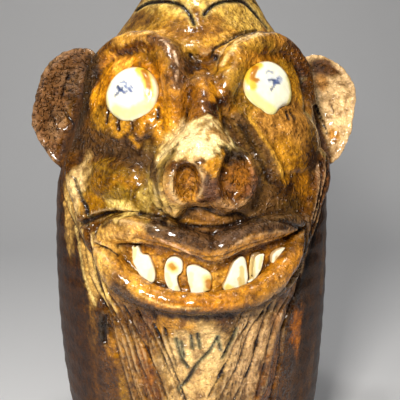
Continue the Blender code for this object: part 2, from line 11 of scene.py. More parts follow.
import bpy
import numpy as np
from bpy.props import FloatProperty, FloatVectorProperty, IntProperty, PointerProperty
from mathutils import Matrix, Vector, kdtree, noise


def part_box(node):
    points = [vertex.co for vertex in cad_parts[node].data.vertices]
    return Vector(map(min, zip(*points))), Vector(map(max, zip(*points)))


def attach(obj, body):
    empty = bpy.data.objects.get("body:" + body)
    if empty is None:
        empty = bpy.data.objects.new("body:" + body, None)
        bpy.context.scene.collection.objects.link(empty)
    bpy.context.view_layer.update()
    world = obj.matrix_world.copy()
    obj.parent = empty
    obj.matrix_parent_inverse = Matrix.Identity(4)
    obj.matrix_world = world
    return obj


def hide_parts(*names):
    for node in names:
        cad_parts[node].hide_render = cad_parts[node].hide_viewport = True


bl_info = {
    "name": "Face Jug",
    "version": (1, 0, 0),
    "blender": (4, 5, 0),
    "location": "3D View > Sidebar > Face Jug",
    "description": "Builds a glazed stoneware face jug with its eyes and teeth, and a studio for it",
    "category": "Object",
}

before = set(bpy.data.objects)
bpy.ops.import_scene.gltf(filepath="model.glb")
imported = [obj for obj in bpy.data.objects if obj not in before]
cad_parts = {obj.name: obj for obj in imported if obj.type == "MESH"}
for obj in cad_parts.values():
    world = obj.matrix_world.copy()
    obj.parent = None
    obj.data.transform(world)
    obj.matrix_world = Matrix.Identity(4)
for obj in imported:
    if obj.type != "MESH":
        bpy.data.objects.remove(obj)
BODY = "root"
MM = 0.001

# Lines of the thrown jug, in metres
HEIGHT = 0.268
FOOT_RADIUS = 0.0585
BELLY_RADIUS = 0.0703
BELLY_HEIGHT = 0.120
NECK_RADIUS = 0.0255
NECK_LENGTH = 0.008
LIP_ROLL_RADIUS = 0.0055
BORE_RADIUS = 0.0150
WALL = 0.0070
FLOOR = 0.0090
HANDLE_REACH = 0.097
HANDLE_TOP = 0.238
HANDLE_FOOT = 0.166
STRAP_THICKNESS = 0.0095
STRAP_WIDTH = 0.026
EAR_THICKNESS = 0.0062
EAR_CUP_DEPTH = 0.0085
EAR_TURN = 14.0
EAR_FORWARD = 0.0060
TOOTH_THICKNESS = 0.0042
TOOTH_BEDDED = 0.0018
RING_SPACING = 0.0095
WELD_DISTANCE = 0.00001
SWAY = ((0, 0), (40, -0.8), (75, -1.5), (140, -1.5), (180, -0.2), (220, 1.1), (268, 2.7))

# Coils of clay: angle, height, lift of the centre line off the wall, radius
COILS = {
    "brow_left": (
        (-67, 192, -1, 4.0), (-67, 206, 2.0, 5.2), (-57, 217, 3.6, 5.8), (-45, 221, 4.2, 6.2),
        (-32, 222, 4.4, 6.4), (-21, 219, 5, 6.6), (-15, 212, 6, 6.4), (-12.5, 203, 6.6, 5.8),
        (-11.5, 194, 5.0, 4.8), (-12, 184, 2.5, 4.0), (-13, 175, -1.5, 3.0),
    ),
    "brow_right": (
        (6, 188, 1, 3.4), (7.5, 196, 5, 4.6), (9, 203, 6.5, 5.4), (12.5, 211, 6, 6.2),
        (19, 218, 5, 6.5), (31, 221.5, 4.4, 6.5), (45, 221, 4.0, 6.3), (57, 215, 3.6, 6.2),
        (64, 205, 2.8, 5.8), (66, 192, 1.5, 5.0),
    ),
    "lid_left": (
        (-62, 203, 0.5, 3.5), (-56, 193, 1.4, 4.0), (-47, 185, 1.2, 4.3),
        (-36, 181, 1.0, 4.3), (-25, 183, 1.2, 4.2), (-16, 190, 1.8, 3.8), (-12, 198, 3, 3.5),
    ),
    "lid_right": (
        (10, 198, 3, 3.6), (14, 189, 2.4, 4.0), (23, 182.5, 2.2, 4.6), (35, 180, 2.2, 4.8),
        (47, 182, 2.0, 4.8), (58, 190, 1.5, 4.4), (64, 200, 1.0, 3.8),
    ),
    "nose_bridge": (
        (0.0, 204.5, 4, 5.4), (0.0, 198, 6.8, 6.4), (-0.2, 189, 9.2, 8.0), (-0.6, 179, 12.6, 10.8),
    ),
    "bridge_roll": (
        (-9, 202, 4.5, 3.0), (-4, 204.5, 6.5, 3.6), (2, 205, 6.8, 3.6), (8, 206, 5, 3.0),
    ),
    "nose_wing_left": (
        (-12, 177, 7, 5.5), (-14.5, 168, 8, 5.5), (-13.0, 158, 9, 5.5), (-6.5, 152.5, 12, 5.0),
    ),
    "cheek_fold_right": (
        (8, 194, 2, 3.5), (15, 187, 2.6, 3.6), (23, 178, 2.6, 4.0),
        (28, 168, 2.6, 4.2), (30, 157, 2.2, 4.0), (31, 147, 1.0, 3.5),
    ),
    "lip_upper": (
        (-35, 138, 6.0, 4.2), (-29, 141.5, 8, 6.2), (-22, 143, 9, 6.8), (-14, 142.5, 9.5, 6.2),
        (-7, 139.5, 10, 5.8), (0, 136, 10.5, 5.5), (3.5, 134.8, 10.5, 5.4), (8, 137.5, 10.5, 5.8),
        (15, 141, 10, 6.2), (23, 142.5, 9.5, 6.0), (30, 143, 8.5, 5.2), (36.5, 142, 6.5, 3.8),
    ),
    "lip_lower": (
        (-35, 137, 7, 3.8), (-33, 132, 8.5, 5.6), (-30, 124.5, 9.5, 6.6), (-24, 118, 10.5, 6.3),
        (-16, 113.6, 11, 5.7), (-8, 111.5, 11.5, 5.2), (0, 110.8, 11.5, 5.0), (8, 111.6, 11.5, 5.2),
        (15, 113.2, 11, 5.6), (22, 117.6, 10.5, 6.0), (28.5, 124.6, 9.5, 5.8), (33.5, 132.5, 8, 4.8),
        (36.5, 139.5, 6, 3.4),
    ),
}

# Balls of clay: angle, height, lift of the centre, half sizes across, out and up
BALLS = {
    "nose_tip": (-0.9, 169.5, 9.0, 19.0, 19.5, 17.0),
    "nostril_left": (-8.3, 165.0, 14.0, 11.0, 12.5, 13.0),
    "nostril_right": (7.4, 165.5, 13.5, 13.0, 13.0, 14.5),
    "cheek_left": (-33.0, 160.0, -1.5, 17.0, 8.0, 12.5),
    "cheek_right": (44.0, 170.0, -3.0, 20.0, 8.5, 22.0),
    "chin": (-1.0, 101.0, -1.5, 20.0, 7.5, 9.0),
}

# Low pads of clay: lift, width of the soft edge, outline as angle and height
PADS = {
    "face": (3.2, 5.0, ((-68, 210), (-52, 223), (-30, 226), (-14, 220), (0, 205), (14, 219),
                        (30, 225), (52, 223), (69, 210), (70, 190), (66, 165), (52, 140),
                        (40, 118), (20, 104), (-20, 104), (-38, 120), (-50, 142), (-64, 166),
                        (-70, 190))),
    "eye_bed_left": (3.0, 5.0, ((-54, 206), (-44, 217), (-30, 219), (-18, 210), (-14, 198),
                                (-22, 187), (-36, 184), (-49, 190))),
    "eye_bed_right": (3.0, 5.0, ((12, 203), (20, 216), (34, 220), (48, 217), (55, 206),
                                 (50, 189), (36, 185), (20, 188))),
    "muzzle": (3.4, 7.0, ((-22, 160), (0, 158), (26, 160), (34, 150), (36, 138), (30, 122),
                          (16, 110), (-14, 109), (-30, 121), (-36, 136), (-32, 148))),
    "beard": (2.8, 3.0, ((-66, 168), (-54, 152), (-44, 128), (-36, 104), (-31, 78), (-26, 52),
                         (-20, 34), (-8, 24), (4, 22), (15, 28), (22, 42), (27, 60), (31, 84),
                         (37, 108), (44, 130), (56, 150), (66, 164), (60, 172), (44, 150),
                         (34, 132), (20, 112), (-18, 111), (-34, 128), (-46, 150), (-60, 172))),
}

# Grooves and incised lines: depth, half width, path as angle and height
GROOVES = {
    "brow_pit": (4.0, 5.5, ((-7, 216), (-2.5, 214), (3, 213.5), (7, 215))),
    "forehead_arc_left": (1.8, 1.9, ((-80, 238), (-71, 239), (-59, 241), (-44, 241.6), (-32, 241.4),
                                     (-19, 239.5), (-11.5, 236), (-6.5, 231))),
    "forehead_arc_right": (1.8, 1.9, ((1.5, 235.4), (6.3, 238.4), (13.7, 240.5), (25, 241.8),
                                      (42, 241.7), (50.6, 238), (57.4, 233.4), (61, 228.8))),
    "forehead_arc_outer": (0.9, 1.2, ((63, 242.4), (72, 240), (80, 237.6))),
    "cheek_crack_left": (4.0, 1.8, ((-48, 140), (-40, 145), (-31, 148), (-21, 148.5), (-12, 146.5))),
    "mouth_corner_left": (3.5, 1.6, ((-35, 134.5), (-31, 133), (-28, 130))),
    "mouth_corner_right": (3.5, 1.6, ((30, 137.5), (34, 139), (38, 141))),
    "nose_side_right": (1.3, 4.2, ((8, 188), (13, 181), (18, 172), (19.5, 163))),
    "lip_shadow_right": (4.5, 2.4, ((40, 143), (41, 134), (38, 124), (32, 115))),
}
INCISED = {
    "strand_cheek": (1.0, 1.2, ((-77.8, 157.5), (-66.5, 147), (-56.4, 137.8), (-49.8, 129.3),
                                (-47.5, 117.8), (-41.6, 106.5), (-33, 96.8))),
    "cheek_line": (1.3, 1.0, ((-53, 161), (-50, 156.6), (-47, 152), (-44.4, 147.8), (-42.5, 141))),
    "strand_cheek_2": (1.0, 1.0, ((-60, 149), (-52, 140), (-46, 133), (-45.4, 122), (-43, 114))),
    "sideburn_1": (1.1, 1.0, ((66, 160), (58, 150), (52, 141), (48.5, 132), (47, 124))),
    "sideburn_2": (1.1, 1.0, ((61, 168), (56, 159), (51, 150.5), (47, 142))),
    "sideburn_3": (1.0, 1.0, ((71, 156), (62, 146), (56, 137), (52, 127))),
    "sideburn_4": (1.1, 1.0, ((56, 167), (52, 158), (48, 149.5), (45, 141.5))),
    "strand_jaw_1": (1.1, 1.2, ((-38.5, 140.2), (-37.5, 132), (-37.0, 124), (-36.2, 111.9),
                                (-30.5, 103.1), (-26, 89.2), (-22, 75), (-18.3, 63.1), (-13, 48))),
    "strand_jaw_2": (1.0, 1.1, ((-41.5, 139), (-41.8, 130.6), (-43.4, 119.5), (-40.1, 109.2),
                                (-32.9, 100.2), (-28.3, 89.5), (-25.6, 77.3), (-21.7, 62.1))),
    "beard_1": (1.2, 1.1, ((-28.5, 104.8), (-23.2, 92.6), (-18, 79.4), (-13.4, 63.5), (-9, 50))),
    "beard_2": (1.2, 1.1, ((-23.4, 103), (-17.5, 91.9), (-13.2, 79.7), (-8.6, 66.9), (-5, 52))),
    "beard_3": (1.5, 1.1, ((-17.5, 98), (-12.9, 84.9), (-9.4, 73), (-6.8, 64), (-4, 50))),
    "beard_4": (1.0, 0.9, ((-13.5, 96.7), (-11, 86.5), (-9.3, 78.1))),
    "panel_1": (1.0, 0.9, ((-9.2, 91.6), (-7.4, 83), (-5.1, 78.3))),
    "panel_2": (0.9, 0.8, ((-7.4, 90.2), (-6.4, 83.1))),
    "panel_3": (0.9, 0.8, ((-3.9, 93.2), (-3.3, 87.4))),
    "panel_4": (0.9, 0.8, ((-1.6, 94.2), (-0.7, 87.4))),
    "panel_5": (1.2, 0.9, ((5.7, 92.4), (2.5, 85.3), (-2, 79.2), (-4.7, 73.1), (-8.6, 66.9))),
    "panel_6": (1.0, 0.8, ((5.7, 92.4), (6.8, 86.2))),
    "panel_7": (1.1, 0.9, ((12.8, 95.2), (9.5, 86.5), (7.4, 82.3))),
    "beard_right_1": (1.3, 1.2, ((35.3, 106.4), (29.9, 98.3), (27, 87.6), (25, 75.4), (22.2, 60.4))),
    "beard_right_2": (1.2, 1.1, ((27.2, 106.6), (24.1, 98), (21.6, 88.7), (18.9, 76.3),
                                 (13.2, 62.5), (8, 48))),
    "beard_right_3": (1.2, 1.1, ((23.7, 101.6), (18.8, 95.5), (16.2, 87.3), (13.5, 77.2),
                                 (7.5, 63.2), (4, 50))),
    "beard_right_4": (1.2, 1.1, ((18.1, 97.9), (12.7, 89.2), (9.4, 79.6), (2.5, 63.8))),
    "strand_right": (1.6, 1.3, ((58, 152), (48.3, 142.1), (44.2, 133), (44, 119.2), (42, 108.5),
                                (38.2, 100.4), (34, 90.4), (33.6, 76.6), (30, 57.1))),
    "drip_1": (0.9, 0.8, ((-42.6, 192), (-42, 187))),
    "drip_2": (0.9, 0.8, ((-35.8, 189), (-35.2, 184))),
    "drip_3": (0.8, 0.7, ((-29.4, 188.8), (-28.7, 184.5))),
    "drip_4": (0.7, 0.7, ((-18.8, 193.9), (-18.8, 189.5))),
    "drip_5": (0.8, 0.7, ((37.2, 191.4), (37.4, 188))),
    "drip_6": (0.8, 0.7, ((39.6, 192), (40, 187.5))),
    "cheek_top": (0.7, 3.0, ((-58, 167), (-50, 171), (-44.2, 172.5), (-31, 172.5), (-22.3, 168.5),
                             (-16, 165))),
    "nose_crease_1": (1.1, 1.0, ((-9, 180.8), (-13.6, 176.1), (-15.4, 170.4), (-14.8, 161),
                                 (-12.9, 150.4), (-11.4, 146.7))),
    "nose_crease_2": (0.9, 0.9, ((-9.7, 178.2), (-11.9, 173), (-12.2, 166.9), (-11.2, 158.2),
                                 (-9.7, 151.7))),
    "moustache_roll": (0.6, 0.8, ((-4, 151.5), (-1, 152.9), (2, 150.6), (6.3, 148.3),
                                  (11.4, 149.2), (14.3, 147.1))),
    "lip_edge": (1.0, 1.0, ((-20.7, 149.3), (-14.2, 148), (-11.6, 146), (-2.9, 144.3), (5.9, 143.8),
                            (13.6, 146.2), (23.3, 146.4), (35.6, 139.1))),
    "brow_right_crease": (0.9, 0.9, ((5, 216.3), (6.1, 219.5), (11.4, 221.7), (15.4, 223),
                                     (18.3, 224.3), (28, 227), (41.7, 228))),
    "nose_line_right": (0.4, 0.9, ((8.3, 190), (13.1, 187.8), (18.9, 182), (23.4, 175.1),
                                   (26.1, 167.3), (27.6, 162.6))),
    "cheek_fold_low": (0.6, 2.6, ((27.5, 161), (33, 163.4), (41.3, 162.8), (51.6, 164.3),
                                  (58, 165.9))),
    "beard_slot": (2.4, 1.9, ((-39.5, 97), (-40, 91), (-39.6, 85))),
    "lip_groove": (0.8, 0.9, ((-20, 139.5), (-10, 136.5), (-2, 131.5), (6, 133), (15, 137.5),
                              (26, 138.5))),
}

# Dents: angle, height, depth, half sizes across and up
DENTS = {
    "nostril_left": (-5.2, 165.3, 6.2, 6.2, 9.2),
    "nostril_right": (7.6, 166.5, 7.2, 8.0, 12.4),
}

# First and last lock of the beard on each side: start, middle and end
LOCKS_LEFT = (((-52, 150), (-40, 106), (-27, 54)), ((-17, 105), (-14, 84), (-7, 32)))
LOCKS_RIGHT = (((45, 140), (35, 104), (24, 50)), ((15, 105), (9, 84), (2, 34)))
LOCKS_PER_SIDE = 5
LOCK_DEPTH = 0.8
LOCK_HALF_WIDTH = 1.9

# Eyes: angle, height, lift, turn to the side, tilt up, half width, half height, and the
# outline as shares of the half sizes by heading (0 to the right, 90 up)
EYES = {
    "eye_left": (-31.7, 199.0, 4.6, -26.0, 14.0, 13.3, 12.9, (
        (0, 0.98), (30, 0.97), (60, 0.98), (90, 1.0), (120, 0.99), (150, 0.98), (180, 0.99),
        (205, 1.0), (222, 0.97), (240, 0.95), (270, 0.98), (300, 0.97), (330, 0.97))),
    "eye_right": (29.4, 201.5, 4.6, 23.0, 14.0, 13.1, 12.9, (
        (0, 0.93), (30, 0.95), (60, 0.98), (90, 1.0), (120, 0.97), (150, 0.99), (180, 1.0),
        (210, 0.90), (240, 0.86), (258, 0.95), (275, 0.99), (295, 0.84), (312, 0.85),
        (326, 1.0), (340, 0.98))),
}
EYE_THICKNESS = 4.9

# Teeth: angle and height of the centre, and the outline as steps across and up
TEETH = {
    "tooth_1": (-18.4, 127.5, ((-5.6, 7.0), (-4.4, 8.2), (-2.9, 6.6), (-1.8, 4.0), (1.2, 3.4),
                               (2.8, 0.6), (4.4, -4.4), (4.0, -8.0), (1.6, -8.6), (-2.2, -6.0),
                               (-5.4, -0.8), (-6.2, 3.2))),
    "tooth_2": (-9.4, 123.2, ((-3.6, 4.2), (-1.4, 7.2), (2.0, 7.4), (4.2, 5.2), (3.8, 0.8),
                              (1.9, -1.4), (2.4, -5.4), (3.4, -8.6), (1.4, -9.8), (-1.6, -7.2),
                              (-3.8, -2.2))),
    "tooth_3": (-0.8, 120.2, ((-5.8, 5.4), (-3.0, 7.0), (0.6, 6.0), (4.2, 3.4), (5.0, 0.2),
                              (4.6, -4.0), (2.0, -5.2), (-0.6, -7.4), (-3.2, -7.2),
                              (-5.0, -1.4))),
    "tooth_4": (11.3, 121.2, ((-0.8, 7.6), (2.2, 9.0), (4.0, 6.4), (4.8, 0.4), (3.8, -4.8),
                              (-1.4, -6.8), (-5.2, -6.0), (-6.4, -4.0), (-4.2, 0.6),
                              (-2.8, 4.4))),
    "tooth_5": (18.1, 125.2, ((-1.8, 5.4), (1.0, 6.8), (3.8, 6.0), (3.2, 0.6), (1.4, -3.6),
                              (-1.4, -6.8), (-3.2, -7.0), (-3.4, -1.6), (-2.9, 3.0))),
    "tooth_6": (27.4, 128.0, ((-5.0, 1.0), (-2.6, 3.2), (1.6, 4.2), (5.2, 4.6), (5.4, 1.8),
                              (1.8, -1.2), (-2.2, -3.8), (-4.4, -4.4))),
}

# Ears: side, height and distance from the axis of the middle, outline outwards and up
EARS = {
    "ear_left": (-1, 192.0, 58.0, ((23.3, -4.8), (21.0, -15.5), (14.6, -24.8), (6.0, -31.0),
                                   (-8.0, -25.0), (-13.0, 0.0), (-11.0, 23.0), (-2.0, 28.4),
                                   (9.0, 25.0), (18.3, 14.8))),
    "ear_right": (1, 190.0, 60.0, ((20.7, -3.0), (19.8, -11.3), (17.2, -19.5), (12.0, -27.0),
                                   (0.0, -30.0), (-12.0, -18.0), (-14.0, 4.0), (-12.0, 22.0),
                                   (-3.0, 27.2), (9.0, 23.2), (18.0, 15.0), (21.3, 7.0))),
}

# Creases in the hollows of the ears: depth, half width and path as steps outwards and up
EAR_FOLDS = {
    "ear_left": (
        (0.9, 1.6, ((6, 14), (9, 6), (8, -3), (3, -11))),
        (0.7, 1.3, ((13, 8), (15, -2), (12, -12))),
    ),
    "ear_right": (
        (1.2, 1.6, ((-1, 10), (2, 3), (6, -6), (9, -13))),
        (0.8, 1.3, ((6, 12), (9, 5), (12, -3))),
    ),
}

# Glaze colours laid in order, a few of them painted shade: colour, strength, angle, height,
# half sizes across and up in millimetres, lean to the side in degrees
DABS = (
    # shoulder and forehead
    ("#b18b48", 0.9, 0, 232, 60, 16, 0),
    ("#c9a767", 0.8, 38, 236, 22, 10, 0),
    ("#d6b877", 0.8, -24, 239, 18, 7, 0),
    ("#6b4a26", 0.9, -56, 234, 15, 6, 0),
    ("#a3742c", 0.8, -20, 229, 10, 6, 15),
    ("#80561f", 0.85, 2, 231, 11, 6, 0),
    ("#8a5f28", 0.9, 0, 226, 13, 5, 0),
    ("#b88a3c", 0.8, 12, 221, 12, 5, 0),
    ("#d9ad5c", 0.8, 15, 217, 8, 6, 30),
    # brows
    ("#87602a", 0.95, -40, 218, 24, 7, 0),
    ("#5e3818", 0.9, -38, 220.5, 15, 3, 0),
    ("#c39350", 0.85, -42, 224.5, 11, 2.6, 0),
    ("#84541f", 0.85, -61, 211, 6, 11, 0),
    ("#b88a52", 0.85, -27, 225, 8, 2.4, -8),
    ("#a87228", 0.8, -18, 204, 5, 12, 0),
    ("#cf9f58", 0.9, 24, 224.5, 14, 3.4, 10),
    ("#8f5f38", 0.85, 44, 224.5, 11, 3.6, -10),
    ("#57342a", 0.95, 42, 217.5, 17, 4, -8),
    ("#5a382a", 0.92, 31, 220, 13, 3.2, 0),
    ("#6b431f", 0.9, 58, 211, 6, 10, 0),
    ("#bb8a3c", 0.8, 13, 213, 7, 9, 30),
    # eye beds and the cheeks under them
    ("#ba8028", 0.9, -17, 193, 14, 14, 0),
    ("#b3761f", 0.9, -38, 207, 20, 8, 0),
    ("#e0a052", 0.95, -44, 212.5, 7, 5, 35),
    ("#c88c2a", 0.9, -52, 200, 5, 14, 0),
    ("#bd8526", 0.85, -14, 184, 9, 10, 10),
    ("#9a7230", 0.85, -42, 187, 14, 6, 0),
    ("#9c7030", 0.8, -34, 185.5, 11, 2, 0),
    ("#94702f", 0.9, 27, 206, 20, 20, 0),
    ("#8a5a20", 0.8, 30, 216, 16, 3, 0),
    ("#c89145", 0.8, 22, 214, 7, 5, 20),
    ("#aa7c4c", 0.9, 33, 184, 16, 18, 0),
    ("#aa7a30", 0.85, 33, 171, 10, 10, 20),
    ("#9a6e40", 0.85, 46, 192, 12, 12, 0),
    ("#76562c", 0.8, 51, 178, 5, 18, 0),
    ("#94702f", 0.7, 18, 194, 5, 8, 30),
    ("#b07f2c", 0.8, 47, 204, 5, 8, 0),
    # between the eyes; the two near-black dabs are painted shade in the pits
    ("#2e180d", 0.9, -4.5, 210.5, 8, 4.5, 0),
    ("#8f602a", 0.8, 4, 216, 6, 5, 0),
    ("#8c6230", 0.85, -1, 206, 10, 4, 0),
    ("#7b4f1e", 0.8, 1, 200, 8, 6, 0),
    ("#a57226", 0.95, 2, 202, 4, 3, 0),
    ("#3a2012", 0.9, 5, 196, 7, 4, -20),
    ("#7a4f22", 0.8, -7, 194, 6, 8, 0),
    ("#a0702a", 0.7, 8, 190, 4, 9, 30),
    # dark band over the left cheek
    ("#583e2c", 0.95, -44, 177, 22, 6, 0),
    ("#483227", 0.95, -25, 176.5, 11, 7, -12),
    ("#463027", 0.95, -18, 171, 4, 6, 0),
    ("#3d2b22", 0.95, -68, 186, 5, 22, 0),
    ("#4a3428", 0.9, -60, 176, 8, 6, 0),
    ("#b5832f", 0.85, -27, 178, 3.4, 2, 20),
    ("#a87a30", 0.7, -34, 182.5, 3, 1.6, 0),
    ("#a87628", 0.8, -12, 180, 5, 6, 15),
    # left cheek
    ("#7f642c", 0.95, -35, 157, 20, 11, 0),
    ("#cdb08c", 0.95, -52, 153, 6.5, 16, 8),
    ("#8f6424", 0.8, -28, 162, 7, 3, 0),
    ("#8f6c2c", 0.8, -40, 167.5, 7, 2.4, 0),
    ("#7d5416", 0.7, -40, 160, 8, 5, 0),
    ("#a8761f", 0.7, -42, 151, 7, 4, 0),
    ("#e2c588", 0.9, -29, 150.5, 8, 2.8, 0),
    ("#b59c66", 0.8, -18, 157, 4, 9, 0),
    # nose
    ("#a08350", 0.95, 0, 172, 22, 14, 0),
    ("#efd6b0", 0.95, -1, 181, 12, 7, 0),
    ("#ecd2a8", 0.9, -6, 176.5, 8, 5, 20),
    ("#ead3a4", 0.85, 7, 177, 7, 5, 0),
    ("#8a6b46", 0.85, 4, 184.5, 7, 2.2, -15),
    ("#725838", 0.9, -12, 170, 2.8, 10, 12),
    ("#d8bb84", 0.95, -10, 158, 5, 9, 10),
    ("#d3b47c", 0.85, -7, 150.5, 6, 3, 0),
    ("#98662c", 0.95, -5.2, 165.3, 7, 10, 0),
    ("#b8843c", 0.85, -4, 161, 4, 5, 0),
    # painted shade under the upper rim of the left nostril
    ("#4a2a16", 0.9, -5.4, 172, 6, 2.2, 0),
    ("#754c30", 0.95, 7.6, 166.5, 8, 12, 0),
    ("#835628", 0.85, 8.5, 165, 4, 6, 0),
    # painted shade under the upper rim of the right nostril
    ("#33221a", 0.95, 6.5, 176, 7, 3.4, -15),
    ("#5c3c38", 0.95, 0.8, 161.5, 3.8, 8.5, 0),
    ("#b07c26", 0.9, 1.4, 173, 3.4, 3.2, 0),
    ("#7a5144", 0.9, 13.6, 164, 2.2, 9, 0),
    ("#664a36", 0.95, 17, 178, 6, 13, -22),
    ("#574230", 0.95, 22, 163, 6.5, 12, -6),
    # right cheek
    ("#a8782a", 0.9, 36, 165, 10, 4.5, 0),
    ("#6e4a1c", 0.95, 37, 155, 15, 8, 0),
    ("#946420", 0.9, 43, 158, 4, 5, 10),
    ("#3e2511", 0.95, 34, 158, 4, 4, 20),
    ("#4a3220", 0.95, 26, 156, 6, 8, 0),
    ("#5d4424", 0.9, 32, 150, 10, 4, 0),
    ("#45290f", 0.9, 50, 169, 6, 5, 0),
    # under the nose
    ("#a07a5e", 0.95, 8, 152, 22, 5, 0),
    ("#76543e", 0.85, 3, 151, 9, 3.4, 0),
    ("#5a4230", 0.95, 24, 148, 14, 4, 0),
    ("#8c6a38", 0.8, -10, 147, 8, 3, 0),
    # lips and mouth
    ("#b07a2c", 0.95, 0, 127, 34, 20, 0),
    ("#d6a866", 0.9, -29, 138, 8, 6, 0),
    ("#cca066", 0.9, -22, 142, 9, 4.4, 0),
    ("#d0a568", 0.9, -33, 125, 7, 12, -10),
    ("#cc9850", 0.85, -24, 116, 10, 4, -25),
    ("#b27626", 0.9, -6, 110.5, 18, 4, 0),
    ("#a8722c", 0.9, 28, 122, 9, 10, 30),
    ("#cb9a4e", 0.9, 3, 124, 7, 8, 0),
    ("#c2904a", 0.8, -14, 126, 14, 8, 0),
    # dark band under the lower lip: darker glaze with painted shadow under the lip
    ("#4a2e2a", 0.95, -3, 104.8, 26, 3, 0),
    ("#54362e", 0.95, -28, 108.5, 9, 3.4, -30),
    # beard
    ("#8f683e", 0.95, -25, 88, 12, 30, -14),
    ("#6b4430", 0.85, -21, 97, 6, 7, -14),
    ("#b8967a", 0.9, 21, 86, 14, 30, 14),
    ("#744a30", 0.9, 27, 70, 6, 24, 12),
    ("#8a6450", 0.9, 31.5, 104, 5, 14, 14),
    ("#d3b28a", 0.95, -2, 84, 15, 16, 0),
    ("#ceaa80", 0.95, -3, 62, 12, 18, 0),
    ("#b5833e", 0.85, -10, 98, 9, 4, 0),
    ("#8a5420", 0.8, -20, 72, 4, 14, -14),
    ("#5b3e30", 0.8, -26, 98, 7, 6, -20),
    # sides of the body: dark glaze, the broad dark dabs made darker still as painted shade where the sides
    # turn from the light
    ("#402408", 0.95, -66, 92, 26, 56, 0),
    ("#6b4a22", 0.85, -46, 96, 3.5, 20, -4),
    ("#9c6d22", 0.9, -35.5, 82, 3, 8, -14),
    ("#8a6526", 0.85, -30, 56, 4, 14, -14),
    ("#c29c68", 0.95, -62, 140, 5, 18, -14),
    ("#bf9a66", 0.9, -47, 120, 4.5, 18, -8),
    ("#1c120b", 0.95, -39.6, 91, 2.6, 7.5, 0),
    ("#462c14", 0.95, 44, 90, 12, 46, 0),
    ("#a2620c", 0.95, 42.5, 88, 4, 12, 0),
    ("#42260a", 0.95, 62, 84, 16, 56, 0),
    ("#39230f", 0.9, 50, 124, 6, 20, 0),
    ("#6e4a22", 0.7, 66, 112, 5, 16, 0),
    ("#6a4620", 0.7, 58, 62, 4, 14, 0),
    ("#775040", 0.95, 56, 155, 8.5, 16, 22),
    ("#8a5d34", 0.9, 38, 112, 3, 10, 20),
    # back of the jug
    ("#7d5424", 0.8, 165, 226, 26, 12, 0),
    ("#8f6530", 0.75, -150, 215, 20, 12, 0),
    ("#70491e", 0.8, 118, 196, 14, 34, 0),
    ("#3c2412", 0.85, 150, 168, 18, 30, 0),
    ("#7a5022", 0.75, -125, 172, 13, 44, 0),
    ("#3a2211", 0.85, -152, 120, 17, 40, 0),
    ("#70481e", 0.75, 172, 92, 15, 34, 0),
    ("#6d461c", 0.75, 110, 82, 12, 40, 0),
)
